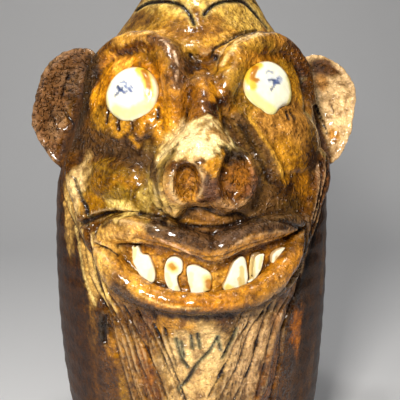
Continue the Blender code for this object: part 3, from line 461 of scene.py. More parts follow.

# Thin runs and lines of glaze, some of them painted highlights and shade: colour, strength,
# half width in millimetres, path as angle and height
RUNS = (
    # pits in the glaze of the left cheek
    ("#4a2c12", 0.9, 0.8, ((-45, 165.4), (-44.6, 165))),
    ("#4a2c12", 0.9, 0.8, ((-45.4, 157.4), (-45, 157))),
    ("#53330f", 0.85, 0.7, ((-38, 163.4), (-37.6, 163))),
    ("#53330f", 0.85, 0.7, ((-31, 160.4), (-30.6, 160))),
    # drips under the eyes
    ("#3e2820", 0.9, 1.0, INCISED["drip_1"][2]),
    ("#3e2820", 0.9, 1.0, INCISED["drip_2"][2]),
    ("#4a2f20", 0.9, 0.9, INCISED["drip_3"][2]),
    ("#4a2f20", 0.85, 0.9, INCISED["drip_4"][2]),
    ("#4a3018", 0.85, 0.7, INCISED["drip_5"][2]),
    ("#4a3018", 0.85, 0.7, INCISED["drip_6"][2]),
    ("#bb8a3c", 0.8, 0.9, ((-39.2, 189.5), (-38.6, 184.5))),
    ("#bb8a3c", 0.8, 1.0, ((-32.6, 188), (-32, 184.5))),
    ("#6b4a20", 0.7, 0.8, ((25, 184), (26.5, 172), (28, 162))),
    # forehead arcs and the ridges of the brows
    ("#c2a878", 0.8, 2.0, GROOVES["forehead_arc_left"][2]),
    ("#2f3437", 0.97, 1.1, GROOVES["forehead_arc_left"][2]),
    ("#c2a878", 0.8, 2.0, GROOVES["forehead_arc_right"][2]),
    ("#2f3437", 0.97, 1.1, GROOVES["forehead_arc_right"][2]),
    ("#4a4032", 0.9, 0.7, GROOVES["forehead_arc_outer"][2]),
    ("#6c4c3e", 0.95, 2.2, ((-26, 224), (-20, 222.5), (-14.5, 218.5), (-10.8, 212), (-10.6, 204))),
    # thin pale lines down the left brow's ridge: painted highlights, over glaze that is thin on the ridge
    ("#d4b8ac", 0.85, 0.35, ((-21, 223.4), (-18.4, 222.4), (-15.7, 220.3))),
    ("#d4b8ac", 0.85, 0.35, ((-13.6, 218.4), (-12.2, 215.6), (-11.3, 212.6))),
    ("#c4a698", 0.8, 0.35, ((-11.1, 210.4), (-11.2, 206))),
    ("#c9a070", 0.8, 1.2, ((-40, 226.6), (-32.6, 227), (-26.7, 227.5))),
    ("#3a2a1c", 0.85, 0.8, INCISED["brow_right_crease"][2]),
    # bright line along the right brow's ridge: painted highlight
    ("#dcb98c", 0.85, 0.7, ((7.6, 212.5), (10.5, 217.3), (13.8, 221), (17.9, 223.7), (30, 226.2))),
    # upper lip: dark above, amber along its lower edge; the thin pale lines on that edge are painted
    # highlights
    ("#6e4e3a", 0.8, 1.3, ((-11, 149), (-5, 148.4), (0, 147), (6, 146), (12, 147))),
    ("#543e3a", 0.96, 4.0, ((-14, 144.4), (-10, 142.6), (-5, 140.9), (0, 139), (5, 139.3), (9, 141))),
    ("#543e3a", 0.96, 2.6, ((7, 141.6), (14, 143.8), (25, 144), (34, 141))),
    ("#a9752c", 0.95, 1.9, ((-18.6, 141.4), (-12.2, 137.8), (-5.9, 134.4), (0, 130), (4, 130), (9, 132.6))),
    ("#9a6a2c", 0.95, 2.8, ((8, 132.6), (15, 136.8), (25, 138.4), (33.7, 138.2))),
    ("#a98874", 0.75, 0.6, ((9, 138), (14, 140.4), (20, 141.6), (27, 141))),
    (
        "#dcb09a", 0.85, 0.6,
        ((-12.4, 139.5), (-10.4, 138.3), (-8.4, 137), (-5.8, 135.4), (-2.5, 131.4), (0, 129)),
    ),
    ("#2a1d17", 0.85, 0.9, INCISED["lip_edge"][2]),
    ("#3a281c", 0.8, 0.7, INCISED["moustache_roll"][2]),
    # painted shade under the overhang of the upper lip, above the teeth
    ("#875a26", 0.85, 1.8, ((-26, 134), (-18, 134), (-10, 130.6), (-3, 126.6), (2, 125), (8, 126), (14, 130),
                            (22, 133.4), (30, 135.6))),
    # lower lip: a painted highlight along its edge, and below it a dark band of darker glaze with painted
    # shadow under the lip
    ("#e6c188", 0.7, 0.5, ((-18.5, 116.2), (-15.5, 113.9), (-11.7, 111.9), (-5.5, 110.4), (-1.2, 110.2))),
    ("#4f3b3a", 0.95, 3.6, ((-25, 117), (-22, 113), (-18.5, 109.6), (-13, 107), (-6, 106), (1, 105.6),
                            (8, 105.6), (14, 106.4))),
    ("#5a4236", 0.92, 2.6, ((14, 105.4), (21.5, 107), (27.4, 110.5), (32, 115), (36, 121), (38.5, 128))),
    # streaks along the dark band and the valley beside the nose
    ("#634836", 0.92, 5.6, ((13, 187), (17.5, 179.5), (20.5, 172.5), (22.3, 165.3), (22, 158), (21, 152))),
    # bright line along the edge of the right cheek: painted highlight
    ("#c3954a", 0.8, 0.9, ((19, 189), (22.6, 182), (25.8, 175.4), (28, 169), (29.8, 163.7))),
    ("#6b4a30", 0.7, 0.8, ((-52, 182), (-44, 179), (-34, 177))),
    ("#2c1a10", 0.7, 0.8, ((-50, 178), (-42, 174.5), (-33, 173.5))),
    ("#75593a", 0.7, 0.8, ((12, 187), (17, 179), (21, 169), (23.5, 160))),
    ("#6b5236", 0.7, 0.6, ((16, 186), (20.5, 178), (24, 169))),
    ("#32241a", 0.8, 1.0, ((14, 187), (18.5, 178.5), (22, 170), (25, 161))),
    # edges of the nose
    (
        "#dcc49c", 0.8, 1.1,
        ((0.8, 191), (-5.2, 187.6), (-10.5, 180.3), (-14.6, 172.8), (-15.5, 165.8), (-14, 158.4)),
    ),
    ("#8a6848", 0.8, 1.2, ((1.5, 186.1), (3.9, 184.3), (6.1, 181.6))),
    ("#6d5c40", 0.8, 0.8, ((-9.2, 178.5), (-12.4, 172), (-13.2, 163), (-12.2, 154))),
    # pale strands down the left side
    ("#dcc08c", 0.8, 1.0, ((-64, 150), (-58, 142), (-53, 130), (-50, 116), (-44, 102))),
    ("#d8b880", 0.8, 0.8, ((-45, 138), (-45, 126), (-42.5, 112), (-36, 101))),
    ("#d8b880", 0.7, 0.8, ((-40, 137), (-39.5, 124), (-37.5, 112), (-32, 102))),
    ("#565a54", 0.85, 0.6, INCISED["cheek_line"][2]),
    # dark glaze between the left ear and the eye, and along the top of the cheek
    ("#40302a", 0.95, 4.2, ((-62, 216), (-64, 206), (-63.5, 196), (-64, 188), (-66, 178))),
    ("#564036", 0.95, 3.4, ((-15.8, 167), (-18.5, 171), (-24, 172), (-31, 174.5), (-40, 175))),
    # the side of the right cheek and the combed hair below it
    # pale line down the side of the right cheek: painted highlight
    ("#8f7a5c", 0.85, 1.6, ((58, 205), (51, 192), (57.5, 179), (60, 167))),
    ("#a88674", 0.9, 0.8, ((54, 166), (50, 157), (46.5, 149), (44, 142))),
    ("#a88674", 0.9, 0.8, ((58.5, 167.5), (54, 158.5), (49.5, 150), (46, 142))),
    ("#2b1810", 0.9, 0.7, INCISED["sideburn_2"][2]),
    ("#2b1810", 0.9, 0.7, INCISED["sideburn_4"][2]),
    ("#a88674", 0.9, 0.9, ((66, 172), (62, 160), (55.5, 150.5), (49.5, 141.5), (45, 130), (41, 118))),
    ("#a88674", 0.9, 0.9, ((70, 168), (66.5, 158), (59.5, 148), (53.5, 139), (49, 128), (44, 116))),
    ("#2b1810", 0.9, 0.9, ((68, 170), (64.4, 159), (57.5, 149.4), (51.5, 140.3), (47, 129), (42.4, 117))),
    ("#22130b", 0.95, 1.3, ((73, 164), (70, 155), (63, 145), (57, 136), (52, 126), (46, 114), (41, 102))),
    ("#1e110a", 0.9, 1.0, ((44, 138), (43.4, 130), (42, 122), (38, 112))),
    # runs down the back
    ("#946a30", 0.75, 2.6, ((128, 232), (127, 200), (129, 165), (128, 140))),
    ("#946a30", 0.7, 2.0, ((162, 236), (160, 205), (161, 176))),
    ("#8a602a", 0.75, 2.4, ((-136, 232), (-138, 196), (-136, 150), (-137, 112))),
    ("#8a602a", 0.7, 1.8, ((-116, 226), (-115, 190), (-116, 158))),
    ("#946a30", 0.65, 1.8, ((-166, 225), (-168, 180), (-167, 138))),
    ("#2c190c", 0.8, 1.6, ((140, 220), (141, 176), (140, 120), (141, 84))),
    ("#2c190c", 0.8, 1.4, ((-128, 215), (-127, 160), (-128, 104))),
    ("#2c190c", 0.7, 1.4, ((104, 190), (103, 140), (104, 96))),
    # slate-coloured strokes on the bare panel of the chin
    *(("#666a62", 0.8, 1.1, path) for name, (_, _, path) in INCISED.items() if name.startswith("panel")),
)

# Colours of the ears: the hollow, the rim, then patches as colour, strength, steps across
# and up from the ear's middle and half sizes across and up
EAR_GLAZE = {
    # left ear: the pinkish rim colour and the two pinkish patches are paler glaze, partly painted highlights
    "ear_left": ("#7c5a4a", "#896a60", (
        ("#8f7064", 0.7, 4, 12, 7, 6),
        ("#8a6636", 0.7, 3, -8, 5, 9),
        ("#876a5c", 0.7, 12, -10, 5, 8),
        ("#5e4436", 0.75, 1, 2, 7, 17),
        ("#33241a", 0.85, -6, 4, 5, 22),
    )),
    "ear_right": ("#d2b292", "#d8b89c", (
        ("#5e3c30", 0.95, 6, 21, 13, 5.5),
        ("#a5713c", 0.8, 3, 12, 5, 5),
        # pale streak down the middle of the right ear: painted highlight
        ("#e2cfb0", 0.8, 0, -3, 4, 13),
        ("#b07838", 0.8, 12, -14, 3, 4),
        ("#3a241c", 0.95, 0, -22, 4.5, 5),
    )),
}

# Powers put on the red, green and blue of the dabbed colours: a millimetre of glaze swallows
# blue first, so it looks richer and more golden than its chip
GLAZE_DEPTH = (1.12, 1.14, 1.36)


# Shares of red, green and blue in the brightness of a colour
BRIGHTNESS = (0.3, 0.6, 0.1)

# The camera: turn and rise in degrees, distance and height of its target in metres, lens in
# millimetres; its target is a step to the right of the axis
CAMERA_TURN = -4
CAMERA_RISE = 10
CAMERA_DISTANCE = 0.45
CAMERA_LENS = 77.85
TARGET_HEIGHT = 0.142
TARGET_STEP = 0.0027

# Lights set from the camera's target: steps back, right and up, size, power, colour
LIGHTS = {
    "key": (0.60, -0.10, 0.16, 0.1, 5.0, (1, 0.97, 0.92)),
    "overhead": (0.45, 0, 0.55, 0.8, 1.2, (1, 0.98, 0.95)),
    "glint": (0.30, -0.05, 0.50, 0.06, 0.9, (1, 0.99, 0.97)),
}

# Small helpers


def hex_colour(code):
    """Linear colour of an sRGB hex value."""
    channels = [int(code[i : i + 2], 16) / 255 for i in (1, 3, 5)]
    return [c / 12.92 if c <= 0.04045 else ((c + 0.055) / 1.055) ** 2.4 for c in channels]


def deselect_all():
    """Nothing selected and no object in edit mode."""
    if bpy.context.object and bpy.context.object.mode != "OBJECT":
        bpy.ops.object.mode_set(mode="OBJECT")
    bpy.ops.object.select_all(action="DESELECT")


def select_only(made):
    """One object selected and active."""
    deselect_all()
    made.select_set(True)
    bpy.context.view_layer.objects.active = made
    return made


def applied(made, kind, **settings):
    """Adds a modifier with its settings and applies it."""
    select_only(made)
    modifier = made.modifiers.new(kind.title(), kind)
    for name, value in settings.items():
        setattr(modifier, name, value)
    bpy.ops.object.modifier_apply(modifier=modifier.name)
    return made


def mesh_points(mesh):
    """All vertex places of a mesh as an array."""
    flat = np.empty(len(mesh.vertices) * 3)
    mesh.vertices.foreach_get("co", flat)
    return flat.reshape(-1, 3)


def mesh_normals(mesh):
    """All vertex normals of a mesh as an array."""
    flat = np.empty(len(mesh.vertices) * 3)
    mesh.vertices.foreach_get("normal", flat)
    return flat.reshape(-1, 3)


def set_mesh_points(mesh, points):
    """Moves the vertices of a mesh to the given places."""
    mesh.vertices.foreach_set("co", points.ravel())
    mesh.update()


def noise_at(points, size, seed=0.0, stretch=(1, 1, 1)):
    """Smooth noise from -1 to 1 whose lumps are about size metres across."""
    scaled = points / (np.array(stretch) * size) + seed
    return np.array([noise.noise(Vector(place)) for place in scaled.tolist()])


def soft_step(value):
    """Smooth rise from 0 to 1 as the value goes from 0 to 1."""
    value = np.clip(value, 0, 1)
    return value * value * (3 - 2 * value)


# Lines of the jug


def smooth_path(stations, per_span=6):
    """Points of a smooth curve through the stations; every column is blended alike."""
    rows = np.array(stations, dtype=float)
    padded = np.vstack([2 * rows[0] - rows[1], rows, 2 * rows[-1] - rows[-2]])
    points = []
    for i in range(1, len(padded) - 2):
        before, start, end, after = padded[i - 1 : i + 3]
        for step in range(per_span):
            t = step / per_span
            points.append(
                0.5
                * (
                    2 * start
                    + (end - before) * t
                    + (2 * before - 5 * start + 4 * end - after) * t**2
                    + (3 * start - before - 3 * end + after) * t**3
                )
            )
    points.append(rows[-1])
    return np.array(points)


def closed_path(stations, per_span=3):
    """Points of a smooth closed curve through the stations."""
    rows = list(stations)
    points = smooth_path([rows[-1], *rows, rows[0], rows[1]], per_span)
    return points[per_span : per_span * (len(rows) + 1)]


def shoulder_stations():
    """Height and radius of the wall from the belly up to the neck."""
    rise = HEIGHT - 2 * LIP_ROLL_RADIUS - NECK_LENGTH - BELLY_HEIGHT
    swell = BELLY_RADIUS - NECK_RADIUS
    shares = (
        (0.0, 1.0), (0.23, 0.982), (0.35, 0.915), (0.465, 0.804), (0.58, 0.692),
        (0.698, 0.569), (0.783, 0.424), (0.868, 0.238), (0.953, 0.085), (1.0, 0.015),
    )
    return [(BELLY_HEIGHT + up * rise, NECK_RADIUS + out * swell) for up, out in shares]


SHOULDER = smooth_path(shoulder_stations())
AXIS = smooth_path(SWAY) * MM


def wall_radius(height):
    """Outer radius of the thrown wall at a height, without the lip."""
    height = np.asarray(height, dtype=float)
    below = np.clip(1 - height / BELLY_HEIGHT, 0, 1)
    belly = BELLY_RADIUS - (BELLY_RADIUS - FOOT_RADIUS) * below**2.3
    shoulder = np.interp(height, SHOULDER[:, 0], SHOULDER[:, 1])
    neck = np.where(height > SHOULDER[-1, 0], NECK_RADIUS, shoulder)
    return np.where(height < BELLY_HEIGHT, belly, neck)


def sway(height):
    """Step to the side of the jug's axis at a height."""
    return np.interp(height, AXIS[:, 0], AXIS[:, 1])


def on_wall(angle, height, lift=0.0):
    """Points at an angle and a height, lifted off the wall, in metres."""
    turn = np.radians(angle)
    up = np.asarray(height, dtype=float) * MM
    out = wall_radius(up) + np.asarray(lift, dtype=float) * MM
    return np.stack([out * np.sin(turn), -out * np.cos(turn), up + 0 * out], axis=-1)


def facing(turn, tilt=0.0):
    """Frame whose columns point across, into the wall and up."""
    side = math.radians(turn)
    rise = math.radians(tilt)
    across = Vector((math.cos(side), math.sin(side), 0))
    level = math.cos(rise)
    inward = Vector((-math.sin(side) * level, math.cos(side) * level, -math.sin(rise)))
    return Matrix((across, inward, across.cross(inward))).transposed()


def path_distance(points, path):
    """Distance of each point to a path in space."""
    nearest = np.full(len(points), np.inf)
    for start, end in zip(path[:-1], path[1:]):
        span = end - start
        along = np.clip((points - start) @ span / (span @ span), 0, 1)
        gap = points - start - along[:, None] * span
        nearest = np.minimum(nearest, np.einsum("ij,ij->i", gap, gap))
    return np.sqrt(nearest)


def near_path(points, path, reach):
    """Which points are in the path's own box, grown by the reach."""
    low = path.min(axis=0) - reach
    high = path.max(axis=0) + reach
    return np.flatnonzero(np.all((points > low) & (points < high), axis=1))


def outline_depth(across, up, outline):
    """Distance inside an outline on the unrolled wall; negative outside it."""
    corners = closed_path(outline)
    corners = np.column_stack([np.radians(corners[:, 0]) * BELLY_RADIUS, corners[:, 1] * MM])
    nearest = np.full(len(across), np.inf)
    inside = np.zeros(len(across), dtype=bool)
    for (x0, y0), (x1, y1) in zip(corners, np.roll(corners, -1, axis=0)):
        dx = x1 - x0
        dy = y1 - y0
        along = np.clip(((across - x0) * dx + (up - y0) * dy) / (dx * dx + dy * dy), 0, 1)
        nearest = np.minimum(nearest, np.hypot(across - x0 - along * dx, up - y0 - along * dy))
        crosses = (y0 > up) != (y1 > up)
        if dy:
            inside ^= crosses & (across < x0 + (up - y0) * dx / dy)
    return np.where(inside, nearest, -nearest)


# Clay


def welded(made):
    """Joins doubled vertices of the active mesh and turns its normals outwards."""
    bpy.ops.object.mode_set(mode="EDIT")
    bpy.ops.mesh.select_all(action="SELECT")
    bpy.ops.mesh.remove_doubles(threshold=WELD_DISTANCE)
    bpy.ops.mesh.normals_make_consistent(inside=False)
    bpy.ops.object.mode_set(mode="OBJECT")
    return made


def new_curve(name):
    """Empty curve, ready for its line."""
    deselect_all()
    bpy.ops.curve.primitive_nurbs_path_add()
    made = bpy.context.object
    made.name = name
    made.data.splines.clear()
    return made


def line_object(name, outline):
    """Open line of edges in the XZ plane, ready to be spun."""
    mesh = bpy.data.meshes.new(name)
    edges = [(i, i + 1) for i in range(len(outline) - 1)]
    mesh.from_pydata([(radius, 0, up) for radius, up in outline], edges, [])
    made = bpy.data.objects.new(name, mesh)
    bpy.context.scene.collection.objects.link(made)
    return made


def spun(name, outline, steps):
    """Closed solid spun round Z from a line that starts and ends on the axis."""
    made = select_only(line_object(name, outline))
    bpy.ops.object.mode_set(mode="EDIT")
    bpy.ops.mesh.select_all(action="SELECT")
    bpy.ops.mesh.spin(steps=steps, angle=2 * math.pi, center=(0, 0, 0), axis=(0, 0, 1))
    bpy.ops.object.mode_set(mode="OBJECT")
    return welded(made)


def thrown_wall():
    """The jug as thrown, still solid, with its low pads of clay."""
    roll_radius = NECK_RADIUS - 0.25 * LIP_ROLL_RADIUS
    centre = HEIGHT - LIP_ROLL_RADIUS
    lip = []
    for i in range(13):
        turn = math.radians(90 - 155 * i / 12)
        out = LIP_ROLL_RADIUS * math.cos(turn)
        lip.append((roll_radius + out, centre + LIP_ROLL_RADIUS * math.sin(turn)))
    outline = [(0, HEIGHT), (BORE_RADIUS, HEIGHT), *lip]
    rings = 200
    for ring in range(1, rings + 1):
        up = lip[-1][1] * (1 - ring / rings)
        outline.append((float(wall_radius(up)), up))
    below = -0.004
    outline += [(FOOT_RADIUS, below), (0, below)]
    wall = spun("wall", outline, 288)
    points = mesh_points(wall.data)
    angle = np.arctan2(points[:, 0], -points[:, 1])
    radius = np.hypot(points[:, 0], points[:, 1])
    lift = np.zeros(len(points))
    for rise, edge, pad in PADS.values():
        depth = outline_depth(angle * BELLY_RADIUS, points[:, 2], pad)
        lift += rise * MM * soft_step(0.5 + depth / (edge * MM))
    outer = (radius > wall_radius(points[:, 2]) - 0.0001) & (points[:, 2] < lip[-1][1])
    scale = np.where(outer, 1 + lift / np.maximum(radius, 0.001), 1)
    points[:, 0] *= scale
    points[:, 1] *= scale
    set_mesh_points(wall.data, points)
    return wall


def coil(name, places, radii, spread=1.0):
    """Closed round coil of clay through the places, thicker and thinner on its way."""
    made = new_curve(name)
    curve = made.data
    curve.bevel_depth = 1.0
    curve.bevel_resolution = 8
    curve.use_fill_caps = True
    spline = curve.splines.new("POLY")
    spline.points.add(len(places) - 1)
    for point, place, radius in zip(spline.points, places, radii):
        point.co = (*place, 1)
        point.radius = radius
    select_only(made)
    bpy.ops.object.convert(target="MESH")
    made = welded(bpy.context.object)
    points = mesh_points(made.data)
    points[:, 0] *= spread
    set_mesh_points(made.data, points)
    return made


def ball(name, place, half_sizes, turn, segments=48):
    """Ellipsoid at a place, turned to face out of the wall."""
    deselect_all()
    bpy.ops.mesh.primitive_uv_sphere_add(segments=segments, ring_count=segments // 2, radius=1)
    made = bpy.context.object
    made.name = name
    made.data.transform(Matrix.Translation(place) @ turn.to_4x4() @ Matrix.Diagonal((*half_sizes, 1)))
    return made


def handle():
    """Strap handle, from the neck out and down to the shoulder at the back."""
    top_radius = float(wall_radius(HANDLE_TOP))
    foot_radius = float(wall_radius(HANDLE_FOOT))
    drop = HANDLE_TOP - HANDLE_FOOT
    reach = HANDLE_REACH - STRAP_THICKNESS / 2
    stations = (
        (top_radius - 0.6 * STRAP_THICKNESS, HANDLE_TOP, 1.15),
        (top_radius + 0.30 * (reach - top_radius), HANDLE_TOP + 0.06 * drop, 1.0),
        (top_radius + 0.72 * (reach - top_radius), HANDLE_TOP - 0.02 * drop, 0.95),
        (reach, HANDLE_TOP - 0.30 * drop, 0.9),
        (reach - 0.03 * drop, HANDLE_TOP - 0.62 * drop, 0.9),
        (foot_radius + 0.45 * (reach - foot_radius), HANDLE_FOOT + 0.12 * drop, 0.95),
        (foot_radius - 0.7 * STRAP_THICKNESS, HANDLE_FOOT, 1.2),
    )
    path = smooth_path(stations, 8)
    places = np.column_stack([np.zeros(len(path)), path[:, 0], path[:, 1]])
    return coil("handle", places, path[:, 2] * STRAP_THICKNESS / 2, STRAP_WIDTH / STRAP_THICKNESS)


def ear(name, side, height, out, outline):
    """Cupped ear: a flat oval pressed hollow, with a round rim, hollow side forward."""
    made = ball(name, Vector((0, 0, 0)), (1, 1, 1), Matrix.Identity(3), 96)
    points = mesh_points(made.data)
    rim = closed_path(outline, 6) * MM
    bearing = np.arctan2(rim[:, 1], rim[:, 0])
    order = np.argsort(bearing)
    reach = np.hypot(rim[:, 0], rim[:, 1])[order]
    share = np.hypot(points[:, 0], points[:, 2])
    heading = np.arctan2(points[:, 2], points[:, 0])
    edge = np.interp(heading, bearing[order], reach, period=2 * math.pi)
    across = np.cos(heading) * edge * share
    up = np.sin(heading) * edge * share
    plump = np.minimum(np.sqrt(np.maximum(1 - share**2, 0)) * 2.2, 1) * (0.75 + 0.45 * share**2)
    deep = np.sign(points[:, 1]) * plump * EAR_THICKNESS / 2
    deep += EAR_CUP_DEPTH * (0.9 - 1.6 * share**2)
    turn = math.radians(EAR_TURN)
    points[:, 0] = side * (out * MM + across * math.cos(turn) - deep * math.sin(turn))
    points[:, 1] = across * math.sin(turn) + deep * math.cos(turn) - EAR_FORWARD
    points[:, 2] = height * MM + up
    if side < 0:
        made.data.flip_normals()
    set_mesh_points(made.data, points)
    return made


def pressed_together(pieces, voxel):
    """One skin of clay over all the pieces, smoothed as by wet fingers."""
    select_only(pieces[0])
    for piece in pieces:
        piece.select_set(True)
    bpy.ops.object.join()
    clay = bpy.context.object
    clay.name = "glazed_jug"
    applied(clay, "REMESH", mode="VOXEL", voxel_size=voxel)
    applied(clay, "SMOOTH", factor=0.5, iterations=9)
    return clay


def wall_coordinates(points):
    """Angle in degrees, height in millimetres and the matching points of the bare wall."""
    angle = np.degrees(np.arctan2(points[:, 0], -points[:, 1]))
    height = points[:, 2] / MM
    return angle, height, on_wall(angle, height)


def lock_paths():
    """Paths of the beard's locks, blended from the first lock to the last on each side."""
    paths = []
    for first, last in (LOCKS_LEFT, LOCKS_RIGHT):
        for i in range(LOCKS_PER_SIDE):
            share = i / (LOCKS_PER_SIDE - 1)
            path = (1 - share) * np.array(first, dtype=float) + share * np.array(last, dtype=float)
            paths.append(smooth_path(path, 5))
    return paths


def combing(angle, height):
    """Fine strands of the combed beard: 0 on a strand's back, 1 in the furrow beside it."""
    furrow = np.zeros(len(angle))
    combed = (np.abs(angle) < 70) & (height > 20) & (height < 155)
    places = np.column_stack([angle / 6, height / 38, angle * 0])[combed]
    wander = np.zeros(len(angle))
    wander[combed] = noise_at(places, 1.0, 2.7)
    strength = np.zeros(len(angle))
    strength[combed] = soft_step(0.75 + 1.1 * noise_at(places, 1.0, 40.3))
    for first, last in (LOCKS_LEFT, LOCKS_RIGHT):
        outer = smooth_path(first)[::-1]
        inner = smooth_path(last)[::-1]
        start = np.interp(height, outer[:, 1], outer[:, 0])
        end = np.interp(height, inner[:, 1], inner[:, 0])
        share = (angle - start) / (end - start)
        strand = np.abs(np.sin(math.pi * (share * 13 + 1.8 * wander)))
        inside = soft_step((share + 0.06) / 0.1) * soft_step((1.04 - share) / 0.1)
        level = soft_step((height - 26) / 14) * soft_step((150 - height) / 14)
        level *= 1 - soft_step((height - 101) / 5) * soft_step((40 - np.abs(angle)) / 3)
        furrow = np.maximum(furrow, (1 - strand) ** 1.8 * inside * level * strength)
    return furrow


def dent_share(name, angle, height, radius, reach=1.05):
    """How much of a dent's depth each point takes, from 0 outside it to 1 on its floor."""
    side, up, _, half_across, half_up = DENTS[name]
    away = np.hypot(np.radians(angle - side) * radius / (half_across * MM), (height - up) / half_up)
    return soft_step((reach - away) / 0.5)


def on_ear_plane(name, points):
    """Steps outwards and up from the middle of an ear, in millimetres."""
    side, height, out, _ = EARS[name]
    across = (side * points[:, 0] / MM - out) / math.cos(math.radians(EAR_TURN))
    return across, points[:, 2] / MM - height


def groove_depths(foot, cuts, edge):
    """Depth of the deepest cut at each point of the bare wall."""
    deepest = np.zeros(len(foot))
    for depth, half, path in cuts:
        line = on_wall(path[:, 0], path[:, 1])
        close = near_path(foot, line, half * MM)
        away = path_distance(foot[close], line) / (half * MM)
        deepest[close] = np.maximum(deepest[close], depth * MM * soft_step(edge - away))
    return deepest


def carve(clay):
    """Grooves, dents, incised lines and combing cut into the skin of clay."""
    points = mesh_points(clay.data)
    normals = mesh_normals(clay.data)
    angle, height, foot = wall_coordinates(points)
    radius = np.hypot(points[:, 0], points[:, 1])
    outward = points * (1, 1, 0) / np.maximum(radius, 0.001)[:, None]
    near = (np.abs(angle) < 82) & (radius > wall_radius(points[:, 2]) - 0.001)
    cuts = [(depth, half, smooth_path(path)) for depth, half, path in GROOVES.values()]
    cuts += [(LOCK_DEPTH, LOCK_HALF_WIDTH, path) for path in lock_paths()]
    cut = groove_depths(foot, cuts, 1)
    for name, (_, _, depth, _, _) in DENTS.items():
        cut += depth * MM * dent_share(name, angle, height, radius)
    points -= outward * np.where(near, cut, 0)[:, None]
    lines = [(depth, half, smooth_path(path)) for depth, half, path in INCISED.values()]
    scratch = np.maximum(groove_depths(foot, lines, 1.1), 0.9 * MM * combing(angle, height))
    points -= normals * np.where(near, scratch, 0)[:, None]
    for name, folds in EAR_FOLDS.items():
        across, up = on_ear_plane(name, points)
        side = EARS[name][0]
        front = (side * points[:, 0] > 0.05) & (normals[:, 1] < -0.3) & (points[:, 1] > -0.02)
        spots = np.column_stack([across, up, 0 * up])
        for depth, half, path in folds:
            line = np.array([(x, y, 0) for x, y in smooth_path(path)])
            share = soft_step(1.1 - path_distance(spots[front], line) / half)
            points[front] -= normals[front] * (depth * MM * share)[:, None]
    set_mesh_points(clay.data, points)


def ear_share(angle, beyond):
    """How far each point belongs to an ear, by its angle and its distance off the wall."""
    return soft_step((beyond - 0.004) / 0.004) * (np.abs(angle) > 68)


def hand_marks(clay, sizes):
    """Unevenness of the worked clay and glaze: lumps, knobs, small beads and throwing rings."""
    points = mesh_points(clay.data)
    normals = mesh_normals(clay.data)
    angle, height, _ = wall_coordinates(points)
    radius = np.hypot(points[:, 0], points[:, 1])
    beyond = radius - wall_radius(points[:, 2])
    worked = soft_step(beyond / 0.003) * (np.abs(angle) < 120)
    ears = ear_share(angle, beyond)
    side, up, _, half_across, _, half_up = BALLS["nose_tip"]
    across = np.radians(angle - side) * radius / (half_across * MM)
    away = np.hypot(across, (height - up - half_up / 2) / half_up)
    rough = 1 - 0.75 * soft_step((1.1 - away) / 0.5)
    lumps = noise_at(points, 0.011, 3.1) * (0.25 + 0.35 * worked)
    knobs = noise_at(points, 0.0045, 7.7) * (0.05 + 0.20 * worked * rough)
    beads = noise_at(points, 0.0023, 1.3) * (0.05 + 0.11 * worked * rough + 0.26 * ears)
    phase = points[:, 2] * 2 * math.pi / RING_SPACING + noise_at(points, 0.03) * 2
    rings = 0.12 * np.sin(phase) * (1 - worked)
    points += normals * ((lumps + knobs + beads + rings) * sizes.unevenness)[:, None]
    set_mesh_points(clay.data, points)


def thinned(clay, faces):
    """Fewer faces, with the most left on the face and the ears."""
    points = mesh_points(clay.data)
    radius = np.hypot(points[:, 0], points[:, 1])
    angle = np.degrees(np.arctan2(points[:, 0], -points[:, 1]))
    raised = (radius > wall_radius(points[:, 2]) + 0.001) & (np.abs(angle) < 110)
    incised = (np.abs(angle) < 78) & (np.abs(points[:, 2] - 0.13) < 0.115)
    worked = raised | incised
    group = clay.vertex_groups.new(name="plain")
    group.add([int(i) for i in np.flatnonzero(~worked)], 0.9, "REPLACE")
    group.add([int(i) for i in np.flatnonzero(worked)], 0.3, "REPLACE")
    triangles = sum(len(face.vertices) - 2 for face in clay.data.polygons)
    ratio = min(1, faces / triangles)
    applied(clay, "DECIMATE", ratio=ratio, vertex_group=group.name, vertex_group_factor=1.0)
    clay.vertex_groups.clear()


def drawn_in(made, low, high):
    """Draws each side of a mesh in towards the middle where it passes the given box."""
    points = mesh_points(made.data)
    for axis in range(3):
        for side, limit in ((-1, low[axis]), (1, high[axis])):
            reach = np.max(side * points[:, axis])
            allowed = abs(limit)
            if reach > allowed > 0:
                beyond = side * points[:, axis] > 0
                points[beyond, axis] *= allowed / reach
    set_mesh_points(made.data, points)
    return made


def swayed(made):
    """Moves an object's mesh sideways with the jug's axis."""
    points = mesh_points(made.data)
    points[:, 0] += sway(points[:, 2])
    set_mesh_points(made.data, points)
    return made


def cut_away(body, cutter):
    """Takes the cutter's solid out of the body; the cutter goes."""
    applied(body, "BOOLEAN", operation="DIFFERENCE", solver="MANIFOLD", object=cutter)
    bpy.data.objects.remove(cutter)


def void():
    """The hollow of the jug: the wall's own line, one wall thickness in, and the bore."""
    neck = HEIGHT - 2 * LIP_ROLL_RADIUS - NECK_LENGTH
    outline = [(0, HEIGHT + WALL), (BORE_RADIUS, HEIGHT + WALL), (BORE_RADIUS, HEIGHT - WALL)]
    rings = 40
    for ring in range(rings + 1):
        up = neck + (FLOOR - neck) * ring / rings
        outline.append((max(float(wall_radius(up)) - WALL, BORE_RADIUS), up))
    outline.append((0, FLOOR))
    return swayed(spun("void", outline, 96))


def foot_block():
    """Block below the foot, so that the jug stands flat."""
    deselect_all()
    side = 3 * FOOT_RADIUS
    bpy.ops.mesh.primitive_cube_add(size=side, location=(0, 0, -side / 2))
    bpy.ops.object.transform_apply(location=True, rotation=True, scale=True)
    return bpy.context.object


# Eyes and teeth


